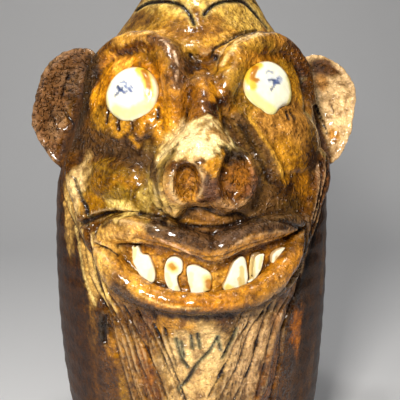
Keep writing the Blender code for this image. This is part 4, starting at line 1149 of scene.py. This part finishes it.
def eye_shape(name, growth):
    """Pressed pellet of white clay with an uneven edge, or with growth its socket."""
    angle, height, lift, turn, tilt, half_width, half_height, outline = EYES[name]
    made = ball(name, Vector((0, 0, 0)), (1, 1, 1), Matrix.Identity(3), 96)
    points = mesh_points(made.data)
    share = np.hypot(points[:, 0], points[:, 2])
    heading = np.degrees(np.arctan2(points[:, 2], points[:, 0])) % 360
    rows = np.array([*outline, (outline[0][0] + 360, outline[0][1])], dtype=float)
    reach = np.interp(heading, *smooth_path(rows, 5).T)
    side = np.sign(points[:, 1])
    crown = np.power(np.maximum(1 - share**3, 0), 0.45)
    points[:, 0] *= (half_width * reach + growth) * MM
    points[:, 2] *= (half_height * reach + growth) * MM
    points[:, 1] = side * crown * (EYE_THICKNESS + growth) * MM
    set_mesh_points(made.data, points)
    if not growth:
        dimple = noise_at(points, 0.0045, 5.5) * 0.22 + noise_at(points, 0.0018, 2.2) * 0.06
        rim = 0.25 * soft_step(1 - np.abs(share - 0.86) / 0.16)
        points[:, 1] -= (dimple + rim) * MM * (points[:, 1] < 0) * soft_step((1 - share) / 0.1)
        set_mesh_points(made.data, points)
    place = Matrix.Translation(Vector(on_wall(angle, height, lift)))
    made.data.transform(place @ facing(turn, tilt).to_4x4())
    return swayed(made)


def grown_outline(outline, growth):
    """Closed outline moved outwards by a distance."""
    ahead = np.roll(outline, -1, axis=0) - np.roll(outline, 1, axis=0)
    ahead /= np.linalg.norm(ahead, axis=1)[:, None]
    after = np.roll(outline, -1, axis=0)
    area = np.sum(outline[:, 0] * after[:, 1] - outline[:, 1] * after[:, 0])
    out = np.column_stack([ahead[:, 1], -ahead[:, 0]]) * math.copysign(1, area)
    return outline + out * growth


def tooth_place(angle, height):
    """Middle of a tooth bedded in the clay of the mouth."""
    bed = PADS["face"][0] + PADS["muzzle"][0]
    lift = bed + (TOOTH_THICKNESS / 2 - TOOTH_BEDDED) / MM
    return Vector(on_wall(angle, height, lift))


def tooth_shape(name, growth):
    """Flat chip of white clay with eased edges, or with growth its socket."""
    angle, height, steps = TEETH[name]
    bevel = 0 if growth else 0.0009
    outline = grown_outline(closed_path(steps, 4) * MM, growth * MM - bevel)
    made = new_curve(name)
    curve = made.data
    curve.dimensions = "2D"
    curve.fill_mode = "BOTH"
    curve.extrude = TOOTH_THICKNESS / 2 + growth * MM - bevel
    curve.bevel_depth = bevel
    curve.bevel_resolution = 3
    spline = curve.splines.new("POLY")
    spline.points.add(len(outline) - 1)
    for point, (across, up) in zip(spline.points, outline):
        point.co = (across, up, 0, 1)
    spline.use_cyclic_u = True
    select_only(made)
    bpy.ops.object.convert(target="MESH")
    made = welded(bpy.context.object)
    if not growth:
        applied(made, "REMESH", mode="VOXEL", voxel_size=0.0003)
        applied(made, "SMOOTH", factor=0.5, iterations=4)
        points = mesh_points(made.data)
        dents = noise_at(points, 0.0035, angle) * 0.28 + noise_at(points, 0.0016, 9.1) * 0.08
        points += mesh_normals(made.data) * (dents * MM)[:, None]
        set_mesh_points(made.data, points)
    place = Matrix.Translation(tooth_place(angle, height))
    upright = Matrix.Rotation(math.radians(90), 4, "X")
    made.data.transform(place @ facing(angle).to_4x4() @ upright)
    return swayed(made)


# Colour on the clay


def relief(mesh, rounds):
    """How far each vertex stands out of its smoothed surroundings, in metres."""
    points = mesh_points(mesh)
    ends = np.empty(len(mesh.edges) * 2, dtype=np.int64)
    mesh.edges.foreach_get("vertices", ends)
    first, second = ends.reshape(-1, 2).T
    count = np.bincount(first, minlength=len(points)) + np.bincount(second, minlength=len(points))
    smooth = points.copy()
    for _ in range(rounds):
        total = np.empty_like(smooth)
        for axis in range(3):
            total[:, axis] = np.bincount(first, smooth[second, axis], len(points))
            total[:, axis] += np.bincount(second, smooth[first, axis], len(points))
        smooth = 0.4 * smooth + 0.6 * total / np.maximum(count, 1)[:, None]
    return np.einsum("ij,ij->i", points - smooth, mesh_normals(mesh))


def nearest_of(places, points):
    """Index of the place nearest to each point."""
    tree = kdtree.KDTree(len(places))
    for index, place in enumerate(places.tolist()):
        tree.insert(place, index)
    tree.balance()
    return np.array([tree.find(point)[1] for point in points.tolist()])


def store(mesh, name, values):
    """Keeps one number or colour for each vertex under a name."""
    if values.ndim == 1:
        layer = mesh.attributes.new(name, "FLOAT", "POINT")
        layer.data.foreach_set("value", values.astype(np.float32))
    else:
        layer = mesh.attributes.new(name, "FLOAT_COLOR", "POINT")
        full = np.column_stack([values, np.ones(len(values))])
        layer.data.foreach_set("color", full.astype(np.float32).ravel())


def on_ear(colour, name, points, ragged):
    """Glazes one ear: its hollow, its rim and its patches, some of them painted highlights."""
    side, _, _, outline = EARS[name]
    hollow, rim, patches = EAR_GLAZE[name]
    across, up = on_ear_plane(name, points)
    across = across + ragged
    up = up + ragged
    edge = closed_path(outline, 6)
    bearing = np.arctan2(edge[:, 1], edge[:, 0])
    order = np.argsort(bearing)
    reach = np.hypot(edge[:, 0], edge[:, 1])[order]
    reach = np.interp(np.arctan2(up, across), bearing[order], reach, period=2 * math.pi)
    share = np.hypot(across, up) / reach
    radius = np.hypot(points[:, 0], points[:, 1])
    beyond = (radius - wall_radius(points[:, 2])) / MM
    ear = soft_step((beyond - 3) / 3) * (side * points[:, 0] > 0)
    ear *= soft_step((points[:, 1] + 0.020) / 0.005)
    ear *= points[:, 1] < 0.035
    ear *= share < 1.3
    laid = [(hollow, 0.95 * ear)]
    for code, strength, patch_across, patch_up, half_across, half_up in patches:
        away = np.hypot((across - patch_across) / half_across, (up - patch_up) / half_up)
        laid.append((code, strength * ear * soft_step((1.3 - away) / 0.7)))
    laid.append((rim, 0.75 * ear * soft_step((share - 0.89) / 0.08)))
    for code, weight in laid:
        colour += weight[:, None] * (np.array(hex_colour(code)) - colour)


def dabbed_colour(points, base):
    """Glaze colour of each point, painted shade and highlights among it: dabs with soft, ragged edges laid
    over the base colour.
    """
    angle, height, _ = wall_coordinates(points)
    colour = np.tile(np.array(base), (len(points), 1))
    ragged_across = noise_at(points, 0.007, 11.0) * 3.5 + noise_at(points, 0.0026, 4.0) * 2.0
    ragged_up = noise_at(points, 0.007, 23.0) * 3.5 + noise_at(points, 0.0026, 6.0, (1, 1, 2)) * 2.6
    for code, strength, side, up, half_across, half_up, lean in DABS:
        across = np.radians(angle - side) * wall_radius(up * MM) / MM + ragged_across
        rise = height - up + ragged_up
        tilt = math.radians(lean)
        along = across * math.cos(tilt) - rise * math.sin(tilt)
        away = np.hypot(along / half_across, (across * math.sin(tilt) + rise * math.cos(tilt)) / half_up)
        share = strength * soft_step((1.35 - away) / 0.75)
        share *= np.abs(angle - side) < 100
        colour += share[:, None] * (np.array(hex_colour(code)) - colour)
    spots = np.column_stack([np.radians(angle) * wall_radius(points[:, 2]) / MM, height, 0 * height])
    spots[:, 0] += 0.12 * ragged_across
    for code, strength, half, path in RUNS:
        path = smooth_path(path)
        across = np.radians(path[:, 0]) * wall_radius(path[:, 1] * MM) / MM
        line = np.column_stack([across, path[:, 1], 0 * path[:, 0]])
        close = near_path(spots, line, 1.4 * half)
        share = strength * soft_step((1.35 - path_distance(spots[close], line) / half) / 0.8)
        colour[close] += share[:, None] * (np.array(hex_colour(code)) - colour[close])
    for name in EARS:
        on_ear(colour, name, points, ragged_across * 0.35)
    return colour ** np.array(GLAZE_DEPTH)


def add_node(tree, kind, inputs=(), **settings):
    """Adds a node, sets its settings, and fills its inputs with values or links."""
    node = tree.nodes.new(kind)
    for name, value in settings.items():
        setattr(node, name, value)
    for key, value in dict(inputs).items():
        if isinstance(value, bpy.types.NodeSocket):
            tree.links.new(value, node.inputs[key])
        else:
            node.inputs[key].default_value = value
    return node


def point_value(tree, name):
    """Number kept on the points under a name."""
    return add_node(tree, "ShaderNodeAttribute", attribute_name=name).outputs["Fac"]


def point_colour(tree, name):
    """Colour kept on the points under a name."""
    return add_node(tree, "ShaderNodeAttribute", attribute_name=name).outputs["Color"]


def noise_value(tree, place, scale, detail=3, roughness=0.5):
    """Noise with a number of lumps to the metre."""
    inputs = {"Vector": place, "Scale": scale, "Detail": detail, "Roughness": roughness}
    return add_node(tree, "ShaderNodeTexNoise", inputs).outputs[0]


def ranged(tree, value, low, high, to_low=0, to_high=1):
    """Value whose range from low to high is mapped to another range."""
    inputs = {"Value": value, "From Min": low, "From Max": high, "To Min": to_low, "To Max": to_high}
    return add_node(tree, "ShaderNodeMapRange", inputs).outputs[0]


def calculated(tree, operation, *values):
    """Result of one step of arithmetic on the values."""
    return add_node(tree, "ShaderNodeMath", enumerate(values), operation=operation).outputs[0]


def mixed(tree, share, first, second, blend="MIX"):
    """Second colour laid over the first by a share."""
    inputs = {"Factor": share, 6: first, 7: second}
    node = add_node(tree, "ShaderNodeMix", inputs, data_type="RGBA", blend_type=blend)
    return node.outputs[2]


def new_material(name):
    """Empty node material and its node tree."""
    material = bpy.data.materials.new(name)
    material.use_nodes = True
    material.node_tree.nodes.clear()
    return material, material.node_tree


def glaze_material(look):
    """Runny wood-ash glaze over brown stoneware.

    It is thin and pale on every edge and pools dark in each hollow, where the darkening
    is also painted shade, with freckles, paler specks that are partly painted glints,
    streaks and a wet gloss full of small highlights.
    """
    material, tree = new_material("ash_glaze")
    place = add_node(tree, "ShaderNodeTexCoord").outputs["Object"]
    tint = point_colour(tree, "glaze_tint_with_painted_light")
    # freckles are 1 to 3 mm, streaks run down the wall
    freckles = noise_value(tree, place, 420)
    blotches = noise_value(tree, place, 150, 3, 0.55)
    squeezed = add_node(tree, "ShaderNodeMapping", {"Vector": place, "Scale": (1, 1, 0.22)})
    streaks = noise_value(tree, squeezed.outputs[0], 330)
    mottle = calculated(tree, "ADD", freckles, blotches)
    mottle = calculated(tree, "MULTIPLY_ADD", streaks, 0.6, mottle)
    depth = ranged(tree, mottle, 1.04, 1.56)
    shade = mixed(tree, depth, (0.42, 0.35, 0.27, 1), (1.55, 1.56, 1.48, 1))
    mottled = mixed(tree, point_value(tree, "runny"), tint, shade, "MULTIPLY")
    # paler specks just under a millimetre wide, tinted towards blue: partly paler glaze, partly painted
    # glints
    specks_and_glints = ranged(tree, noise_value(tree, place, 1150, 1), 0.5, 0.72)
    mottled = mixed(tree, specks_and_glints, mottled, (1.5, 1.5, 1.75, 1), "MULTIPLY")
    pale = mixed(tree, point_value(tree, "ridge"), mottled, (*hex_colour("#d6b27c"), 1))
    # pooling glaze and painted shade: the hollow points are darkened towards near black
    dark = mixed(tree, point_value(tree, "hollow"), pale, (*hex_colour("#1c0e07"), 1))
    # pimples one to two millimetres wide, on a gentle swell
    pimples = ranged(tree, noise_value(tree, place, 620, 1), 0.48, 0.72)
    pimples = calculated(tree, "MULTIPLY", pimples, point_value(tree, "grit"))
    swell = noise_value(tree, place, 240, 2)
    height = calculated(tree, "MULTIPLY_ADD", swell, 0.5, pimples)
    bump = add_node(tree, "ShaderNodeBump", {"Strength": 0.9, "Distance": 0.0014, "Height": height})
    gloss = ranged(tree, blotches, 0.35, 0.65, 0.09, 0.2)
    gloss = calculated(tree, "MULTIPLY_ADD", point_value(tree, "dry"), 0.75, gloss)
    shader = add_node(
        tree, "ShaderNodeBsdfPrincipled",
        {
            "Base Color": dark, "Roughness": gloss, "Normal": bump.outputs[0],
            "IOR": 1.33, "Coat Weight": look.gloss_coat, "Coat Roughness": 0.06, "Coat IOR": 1.6,
        },
    )
    add_node(tree, "ShaderNodeOutputMaterial", {"Surface": shader.outputs[0]})
    return material


def white_clay_material(name, tint_name):
    """White earthenware under a clear glaze: warm cream, with the brown glaze run onto it."""
    material, tree = new_material(name)
    place = add_node(tree, "ShaderNodeTexCoord").outputs["Object"]
    shade = ranged(tree, noise_value(tree, place, 420), 0.35, 0.65, 0.93, 1.04)
    colour = mixed(tree, 1.0, point_colour(tree, tint_name), shade, "MULTIPLY")
    swell = noise_value(tree, place, 500)
    bump = add_node(tree, "ShaderNodeBump", {"Strength": 0.35, "Distance": 0.0004, "Height": swell})
    shader = add_node(
        tree, "ShaderNodeBsdfPrincipled",
        {
            "Base Color": colour, "Roughness": 0.22, "Normal": bump.outputs[0],
            "IOR": 1.5, "Coat Weight": 0.4, "Coat Roughness": 0.08,
        },
    )
    add_node(tree, "ShaderNodeOutputMaterial", {"Surface": shader.outputs[0]})
    return material


# Stains and strokes painted on the eyes and teeth: colour, strength, path as steps across
# and up from the middle of the piece in millimetres, half width
EYE_PAINT = {
    "eye_left": (
        ("#e4dd86", 0.85, ((9, -4), (5, -7), (0, -9), (-6, -7.5)), 2.8),
        ("#dcb42c", 0.95, ((3.4, 11.4), (6.4, 8.4), (8.6, 4.4), (9.6, 0)), 2.3),
        ("#a06204", 0.97, ((5.2, 10.6), (7.6, 7.4), (9.0, 3.6), (9.0, 0.6)), 1.2),
        ("#e0c878", 0.7, ((-11, 4), (-12, -1), (-10.6, -5.4)), 1.2),
        ("#c3cad8", 0.6, ((-5, 1.6), (-2, 3), (1.0, 1.6)), 2.6),
        ("#2c3c62", 0.9, ((-6.4, -1.2), (-4.8, 0.8), (-3.4, 2.2)), 0.7),
        ("#24345a", 0.95, ((-5.8, 3.0), (-4.8, 2.0), (-3.8, 1.4)), 0.9),
        ("#4a5a86", 0.9, ((-3.8, 1.0), (-1.8, 0.2), (0.0, 1.4), (1.4, 0.8)), 0.65),
        ("#6a7aa0", 0.85, ((-5.0, 4.6), (-3.0, 5.2), (-1.4, 4.4)), 0.55),
        ("#5a6a94", 0.85, ((-2.4, 3.6), (-0.8, 2.2), (0.6, 3.2), (1.6, 2.6)), 0.6),
    ),
    "eye_right": (
        ("#e2dc84", 0.85, ((-10.4, -2), (-6, -7), (0, -10.6)), 2.4),
        ("#dcb028", 0.95, ((-4.6, 10.6), (-8.4, 8.6), (-10.2, 4.6), (-9.4, 1.0)), 2.2),
        ("#a46606", 0.97, ((-6.0, 9.9), (-7.8, 7.0), (-9.2, 4.6), (-6.8, 3.3)), 1.15),
        ("#e3cf74", 0.9, ((10.6, 4), (11.8, -2), (10.0, -7.0)), 2.2),
        ("#c3cad8", 0.6, ((-1, 3), (2, 3.4), (4.0, 3.0)), 2.4),
        ("#2c3c62", 0.95, ((-1.2, 3.0), (0.8, 3.2), (2.2, 1.6), (3.8, 1.8)), 0.65),
        ("#34446c", 0.95, ((-0.6, -1.2), (0.8, 0.6), (2.0, 2.8)), 0.6),
        ("#4a5a86", 0.9, ((0.8, 0.4), (2.4, 2.2), (3.8, 4.2)), 0.65),
        ("#7a86a0", 0.8, ((-2.2, 6.4), (-0.6, 7.4), (1.2, 6.8)), 0.6),
        ("#8a94ac", 0.75, ((4.8, 5.0), (5.2, 3.6), (4.6, 2.2)), 0.6),
    ),
}
TOOTH_PAINT = {
    "tooth_1": (
        ("#e4d080", 0.75, ((-4.5, 6.5), (-5.4, 2)), 1.1),
        ("#e8dc98", 0.6, ((3, -3), (2, -7)), 1.4),
    ),
    "tooth_2": (
        ("#dcc060", 0.85, ((-0.6, 3.6), (0.4, 2.6)), 2.5),
        ("#b87e08", 0.97, ((-0.6, 3.8), (0.4, 2.8)), 1.2),
        ("#e8d48c", 0.7, ((-2.5, 0), (-1.0, -5)), 1.1),
        ("#d8c078", 0.7, ((1.6, -6), (2.4, -8.6)), 1.0),
    ),
    "tooth_3": (
        ("#dcbc60", 0.85, ((3.4, 0.6), (3.8, -3.4)), 2.7),
        ("#ac6c08", 0.97, ((3.6, -0.4), (4.0, -2.6)), 1.5),
        ("#ecdc98", 0.7, ((-4, 3), (-4.4, -2)), 1.3),
    ),
    "tooth_4": (
        ("#dcc458", 0.9, ((-4.6, -4.4), (-2.6, -5.6)), 1.8),
        ("#d3ba68", 0.85, ((1.6, 4), (2.2, -3)), 1.3),
        ("#c9a84c", 0.75, ((0.6, -1), (1.4, -4.4)), 0.9),
    ),
    "tooth_5": (
        ("#dcc67c", 0.75, ((-2, 3), (-2.2, -5)), 0.9),
        ("#e0ca80", 0.7, ((1.6, 4), (0.8, -1)), 0.8),
    ),
    "tooth_6": (
        ("#8f7230", 0.85, ((-3.2, -1.6), (0, 0.2), (3.8, 2.4)), 0.9),
        ("#cfae5c", 0.8, ((-3.5, -2.5), (-3, 0)), 1.4),
    ),
}


def painted(made, place, turn, base, edge, edge_share, strokes):
    """Colours a white piece: base, a stained edge, then strokes in its own flat frame."""
    points = mesh_points(made.data)
    flat = (points - np.array(place)) @ np.array(turn)
    across = flat[:, 0] / MM
    up = flat[:, 2] / MM
    wobble = noise_at(points, 0.0016, 8.8) * 0.45
    colour = np.tile(hex_colour(base), (len(points), 1))
    share = edge_share[:, None]
    colour += share * (np.array(hex_colour(edge)) - colour)
    spots = np.column_stack([across, up, np.zeros(len(points))])
    for code, strength, path, half in strokes:
        line = np.array([(x, y, 0) for x, y in path], dtype=float)
        if len(line) > 2:
            line = smooth_path(line, 6)
        away = (path_distance(spots, line) + wobble) / half
        share = strength * soft_step((1.3 - away) / 0.8)
        colour += share[:, None] * (np.array(hex_colour(code)) - colour)
    store(made.data, "clay_tint", colour)


# Operators and panel


def coated(made, material):
    """Gives a piece its one material and smooth shading."""
    made.data.materials.clear()
    made.data.materials.append(material)
    select_only(made)
    bpy.ops.object.shade_smooth()


class FaceJugSizes(bpy.types.PropertyGroup):
    """Grain and unevenness of the clay."""

    grain: FloatProperty(
        name="Clay Grain", description="Voxel size of the pressed clay",
        default=0.00078, min=0.0004, max=0.003, subtype="DISTANCE", unit="LENGTH",
    )
    unevenness: FloatProperty(
        name="Unevenness", description="Height of the lumps left by the hands",
        default=0.001, min=0.0, max=0.003, subtype="DISTANCE", unit="LENGTH",
    )
    faces: IntProperty(
        name="Faces", description="Triangles left on the jug body",
        default=185000, min=20000, max=195000,
    )
    socket_gap: FloatProperty(
        name="Socket Gap", description="Gap round each eye and tooth, in millimetres",
        default=0.2, min=0.05, max=0.5,
    )


class FaceJugLook(bpy.types.PropertyGroup):
    """Colour of the glaze and the weight of its clear gloss coat."""

    glaze: FloatVectorProperty(
        name="Glaze", description="Glaze colour where nothing else is dabbed on",
        subtype="COLOR", size=3, default=hex_colour("#5b3a17"), min=0, max=1,
    )
    gloss_coat: FloatProperty(
        name="Gloss Coat", description="Weight of the clear gloss over the glaze",
        default=0.2, min=0, max=1, subtype="FACTOR",
    )


class FACEJUG_OT_body(bpy.types.Operator):
    """Throws the jug, lays the clay of the face on it, combs and glazes it"""

    bl_idname = "facejug.body"
    bl_label = "Build Jug Body"

    def execute(self, context):
        sizes = context.scene.face_jug_sizes
        look = context.scene.face_jug_look
        pieces = [thrown_wall(), handle()]
        for name, stations in COILS.items():
            path = smooth_path(stations, 8)
            places = on_wall(path[:, 0], path[:, 1], path[:, 2])
            pieces.append(coil(name, places, path[:, 3] * MM))
        for name, (angle, height, lift, *half_sizes) in BALLS.items():
            place = Vector(on_wall(angle, height, lift))
            pieces.append(ball(name, place, [half * MM for half in half_sizes], facing(angle)))
        pieces += [ear(name, *values) for name, values in EARS.items()]
        body = pressed_together(pieces, sizes.grain)
        carve(body)
        hand_marks(body, sizes)
        clay = mesh_points(body.data)
        fine = relief(body.data, 6)
        broad = relief(body.data, 60)
        thinned(body, sizes.faces)
        drawn_in(swayed(body), *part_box("jug_body"))
        cut_away(body, foot_block())
        cut_away(body, void())
        for name in EYES:
            cut_away(body, eye_shape(name, sizes.socket_gap))
        for name in TEETH:
            cut_away(body, tooth_shape(name, sizes.socket_gap))
        points = mesh_points(body.data)
        points[:, 0] -= sway(points[:, 2])
        tint = dabbed_colour(points, look.glaze)
        store(body.data, "glaze_tint_with_painted_light", tint)
        nearest = nearest_of(clay, points)
        fine = fine[nearest]
        broad = broad[nearest]
        # glaze pooling in concave spots at two scales, together with painted shade: these points are
        # darkened towards near black by the glaze material, less in the nostrils and under the nose
        pooled_glaze_and_shade = 0.68 * soft_step(-fine / 0.00030 - 0.3) + 0.42 * soft_step(-broad / 0.0012 - 0.1)
        angle, height, _ = wall_coordinates(points)
        radius = np.hypot(points[:, 0], points[:, 1])
        nostrils = 0
        for name in DENTS:
            pooled_glaze_and_shade *= 1 - 0.75 * dent_share(name, angle, height, radius)
            nostrils = nostrils + dent_share(name, angle, height, radius, 1.3)
        pooled_glaze_and_shade *= 1 - 0.4 * soft_step(1.4 - np.hypot((angle - 3) / 18, (height - 149) / 7))
        store(body.data, "hollow", pooled_glaze_and_shade)
        brightness = tint @ BRIGHTNESS
        breaks = soft_step((brightness - 0.02) / 0.12)
        beyond = radius - wall_radius(points[:, 2])
        ears = ear_share(angle, beyond)
        ear_grit = ears * np.where(angle < 0, 1.1, -0.1)
        store(body.data, "grit", 0.36 + 0.5 * (1 - breaks) + ear_grit + 0.8 * nostrils)
        bare = 1 - soft_step((beyond - 0.001) / 0.003)
        sides = soft_step((np.abs(angle) - 36) / 14) * soft_step((120 - np.abs(angle)) / 30)
        store(body.data, "dry", bare * sides)
        store(body.data, "runny", 1 - 0.6 * soft_step((brightness - 0.36) / 0.22))
        worn = 0.5 * soft_step(fine / 0.0004 - 0.3) + 0.25 * soft_step(broad / 0.0016 - 0.2)
        worn *= 1 - 0.8 * dent_share("nostril_right", angle, height, radius, 1.7)
        worn *= 1 - 0.7 * ears * (angle < 0)
        store(body.data, "ridge", (0.15 + 0.85 * breaks) * worn)
        coated(body, glaze_material(look))
        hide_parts("jug_body")
        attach(body, BODY)
        return {"FINISHED"}


class FACEJUG_OT_eyes(bpy.types.Operator):
    """Presses the two eyes of white clay and paints their pupils and stains"""

    bl_idname = "facejug.eyes"
    bl_label = "Build Eyes"

    def execute(self, context):
        material = white_clay_material("eye_white_clay", "clay_tint")
        for name, (angle, height, lift, turn, tilt, half_width, half_height, _) in EYES.items():
            eye = eye_shape(name, 0)
            eye.name = f"{name}_pellet"
            place = Vector(on_wall(angle, height, lift))
            place.x += float(sway(place.z))
            frame_of_eye = facing(turn, tilt)
            flat = (mesh_points(eye.data) - np.array(place)) @ np.array(frame_of_eye)
            out = np.hypot(flat[:, 0] / half_width, flat[:, 2] / half_height) / MM
            edge = 0.9 * soft_step((out - 0.88) / 0.12)
            painted(eye, place, frame_of_eye, "#efe9cc", "#b98a3c", edge, EYE_PAINT[name])
            coated(eye, material)
            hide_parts(name)
            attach(eye, BODY)
        return {"FINISHED"}


class FACEJUG_OT_teeth(bpy.types.Operator):
    """Presses the six teeth of white clay into the mouth"""

    bl_idname = "facejug.teeth"
    bl_label = "Build Teeth"

    def execute(self, context):
        material = white_clay_material("tooth_white_clay", "clay_tint")
        for name, (angle, height, _) in TEETH.items():
            tooth = tooth_shape(name, 0)
            tooth.name = f"{name}_chip"
            place = tooth_place(angle, height)
            place.x += float(sway(place.z))
            flat = (mesh_points(tooth.data) - np.array(place)) @ np.array(facing(angle))
            edge = 0.8 * soft_step((flat[:, 1] / MM + 1.5) / 1.2)
            painted(tooth, place, facing(angle), "#f2e9cb", "#b98a3c", edge, TOOTH_PAINT[name])
            coated(tooth, material)
            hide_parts(name)
            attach(tooth, BODY)
        return {"FINISHED"}


def plain_material(name, code, roughness):
    """Matt painted board for the stage."""
    material, tree = new_material(name)
    inputs = {"Base Color": (*hex_colour(code), 1), "Roughness": roughness}
    shader = add_node(tree, "ShaderNodeBsdfPrincipled", inputs)
    add_node(tree, "ShaderNodeOutputMaterial", {"Surface": shader.outputs[0]})
    return material


def area_light(name, place, target, size, power, colour):
    """Soft studio light aimed at the jug."""
    data = bpy.data.lights.new(name, "AREA")
    data.size = size
    data.energy = power
    data.color = colour
    light = bpy.data.objects.new(name, data)
    bpy.context.scene.collection.objects.link(light)
    light.location = place
    light.rotation_euler = (target - place).to_track_quat("-Z", "Y").to_euler()
    return light


class FACEJUG_OT_stage(bpy.types.Operator):
    """Sets the floor, the backdrop, the lights and the camera"""

    bl_idname = "facejug.stage"
    bl_label = "Build Stage"

    def execute(self, context):
        deselect_all()
        bpy.ops.mesh.primitive_plane_add(size=1, location=(0, 0, 0))
        floor = bpy.context.object
        floor.name = "studio_floor"
        bpy.ops.object.mode_set(mode="EDIT")
        bpy.ops.mesh.select_all(action="SELECT")
        bpy.ops.transform.resize(value=(1.0, 3, 1))
        bpy.ops.object.mode_set(mode="OBJECT")
        points = mesh_points(floor.data)
        points[:, 1] -= 0.6
        points[:, 2] = -0.0002
        set_mesh_points(floor.data, points)
        edge = sorted(range(4), key=lambda i: -points[i, 1])[:2]
        select_only(floor)
        bpy.ops.object.mode_set(mode="EDIT")
        bpy.ops.mesh.select_all(action="DESELECT")
        bpy.ops.mesh.select_mode(type="VERT")
        bpy.ops.object.mode_set(mode="OBJECT")
        for vertex in floor.data.vertices:
            vertex.select = vertex.index in edge
        bpy.ops.object.mode_set(mode="EDIT")
        bpy.ops.mesh.select_mode(type="EDGE")
        bpy.ops.mesh.extrude_region_move(TRANSFORM_OT_translate={"value": (0, 0, 2.5)})
        bpy.ops.mesh.select_all(action="SELECT")
        bpy.ops.mesh.normals_make_consistent(inside=True)
        bpy.ops.object.mode_set(mode="OBJECT")
        applied(floor, "BEVEL", width=0.4, segments=12, limit_method="ANGLE")
        bpy.ops.object.shade_smooth()
        floor.data.materials.append(plain_material("matt_grey_board", "#dcdcdd", 0.8))

        turn = math.radians(CAMERA_TURN)
        rise = math.radians(CAMERA_RISE)
        level = math.cos(rise)
        right = Vector((math.cos(turn), math.sin(turn), 0))
        back = Vector((math.sin(turn) * level, -math.cos(turn) * level, math.sin(rise)))
        up = back.cross(right)
        target = Vector((0, 0, TARGET_HEIGHT)) + TARGET_STEP * right
        data = bpy.data.cameras.new("camera")
        data.sensor_fit = "HORIZONTAL"
        data.sensor_width = 36
        data.lens = CAMERA_LENS
        camera = bpy.data.objects.new("camera", data)
        context.scene.collection.objects.link(camera)
        stand = Matrix.Translation(target + CAMERA_DISTANCE * back)
        camera.matrix_world = stand @ Matrix((right, up, back)).transposed().to_4x4()
        context.scene.camera = camera

        for name, (far, aside, above, *light) in LIGHTS.items():
            area_light(name, target + far * back + aside * right + above * up, target, *light)
        area_light("back", Vector((0.1, 0.6, 1.0)), target, 0.7, 1.6, (1, 1, 1))
        world = bpy.data.worlds.new("studio")
        context.scene.world = world
        world.use_nodes = True
        background = world.node_tree.nodes["Background"]
        background.inputs["Color"].default_value = (*hex_colour("#e8ecf2"), 1)
        background.inputs["Strength"].default_value = 0.06
        context.scene.view_settings.view_transform = "Standard"
        return {"FINISHED"}


class FACEJUG_PT_panel(bpy.types.Panel):
    """Sidebar panel with the sizes, the look and one button for each piece"""

    bl_idname = "FACEJUG_PT_panel"
    bl_label = "Face Jug"
    bl_space_type = "VIEW_3D"
    bl_region_type = "UI"
    bl_category = "Face Jug"

    def draw(self, context):
        for group in (context.scene.face_jug_sizes, context.scene.face_jug_look):
            for name in group.__annotations__:
                self.layout.prop(group, name)
        for operator in OPERATORS:
            self.layout.operator(operator.bl_idname)


OPERATORS = (FACEJUG_OT_body, FACEJUG_OT_eyes, FACEJUG_OT_teeth, FACEJUG_OT_stage)
CLASSES = (FaceJugSizes, FaceJugLook, *OPERATORS, FACEJUG_PT_panel)


def register():
    """Adds the classes and their settings."""
    for added in CLASSES:
        bpy.utils.register_class(added)
    bpy.types.Scene.face_jug_sizes = PointerProperty(type=FaceJugSizes)
    bpy.types.Scene.face_jug_look = PointerProperty(type=FaceJugLook)


def unregister():
    """Takes the settings and the classes away."""
    del bpy.types.Scene.face_jug_look
    del bpy.types.Scene.face_jug_sizes
    for added in reversed(CLASSES):
        bpy.utils.unregister_class(added)


def main():
    """Builds the jug and its stage."""
    register()
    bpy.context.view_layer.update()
    bpy.ops.facejug.body()
    bpy.ops.facejug.eyes()
    bpy.ops.facejug.teeth()
    bpy.ops.facejug.stage()


if __name__ == "__main__":
    main()
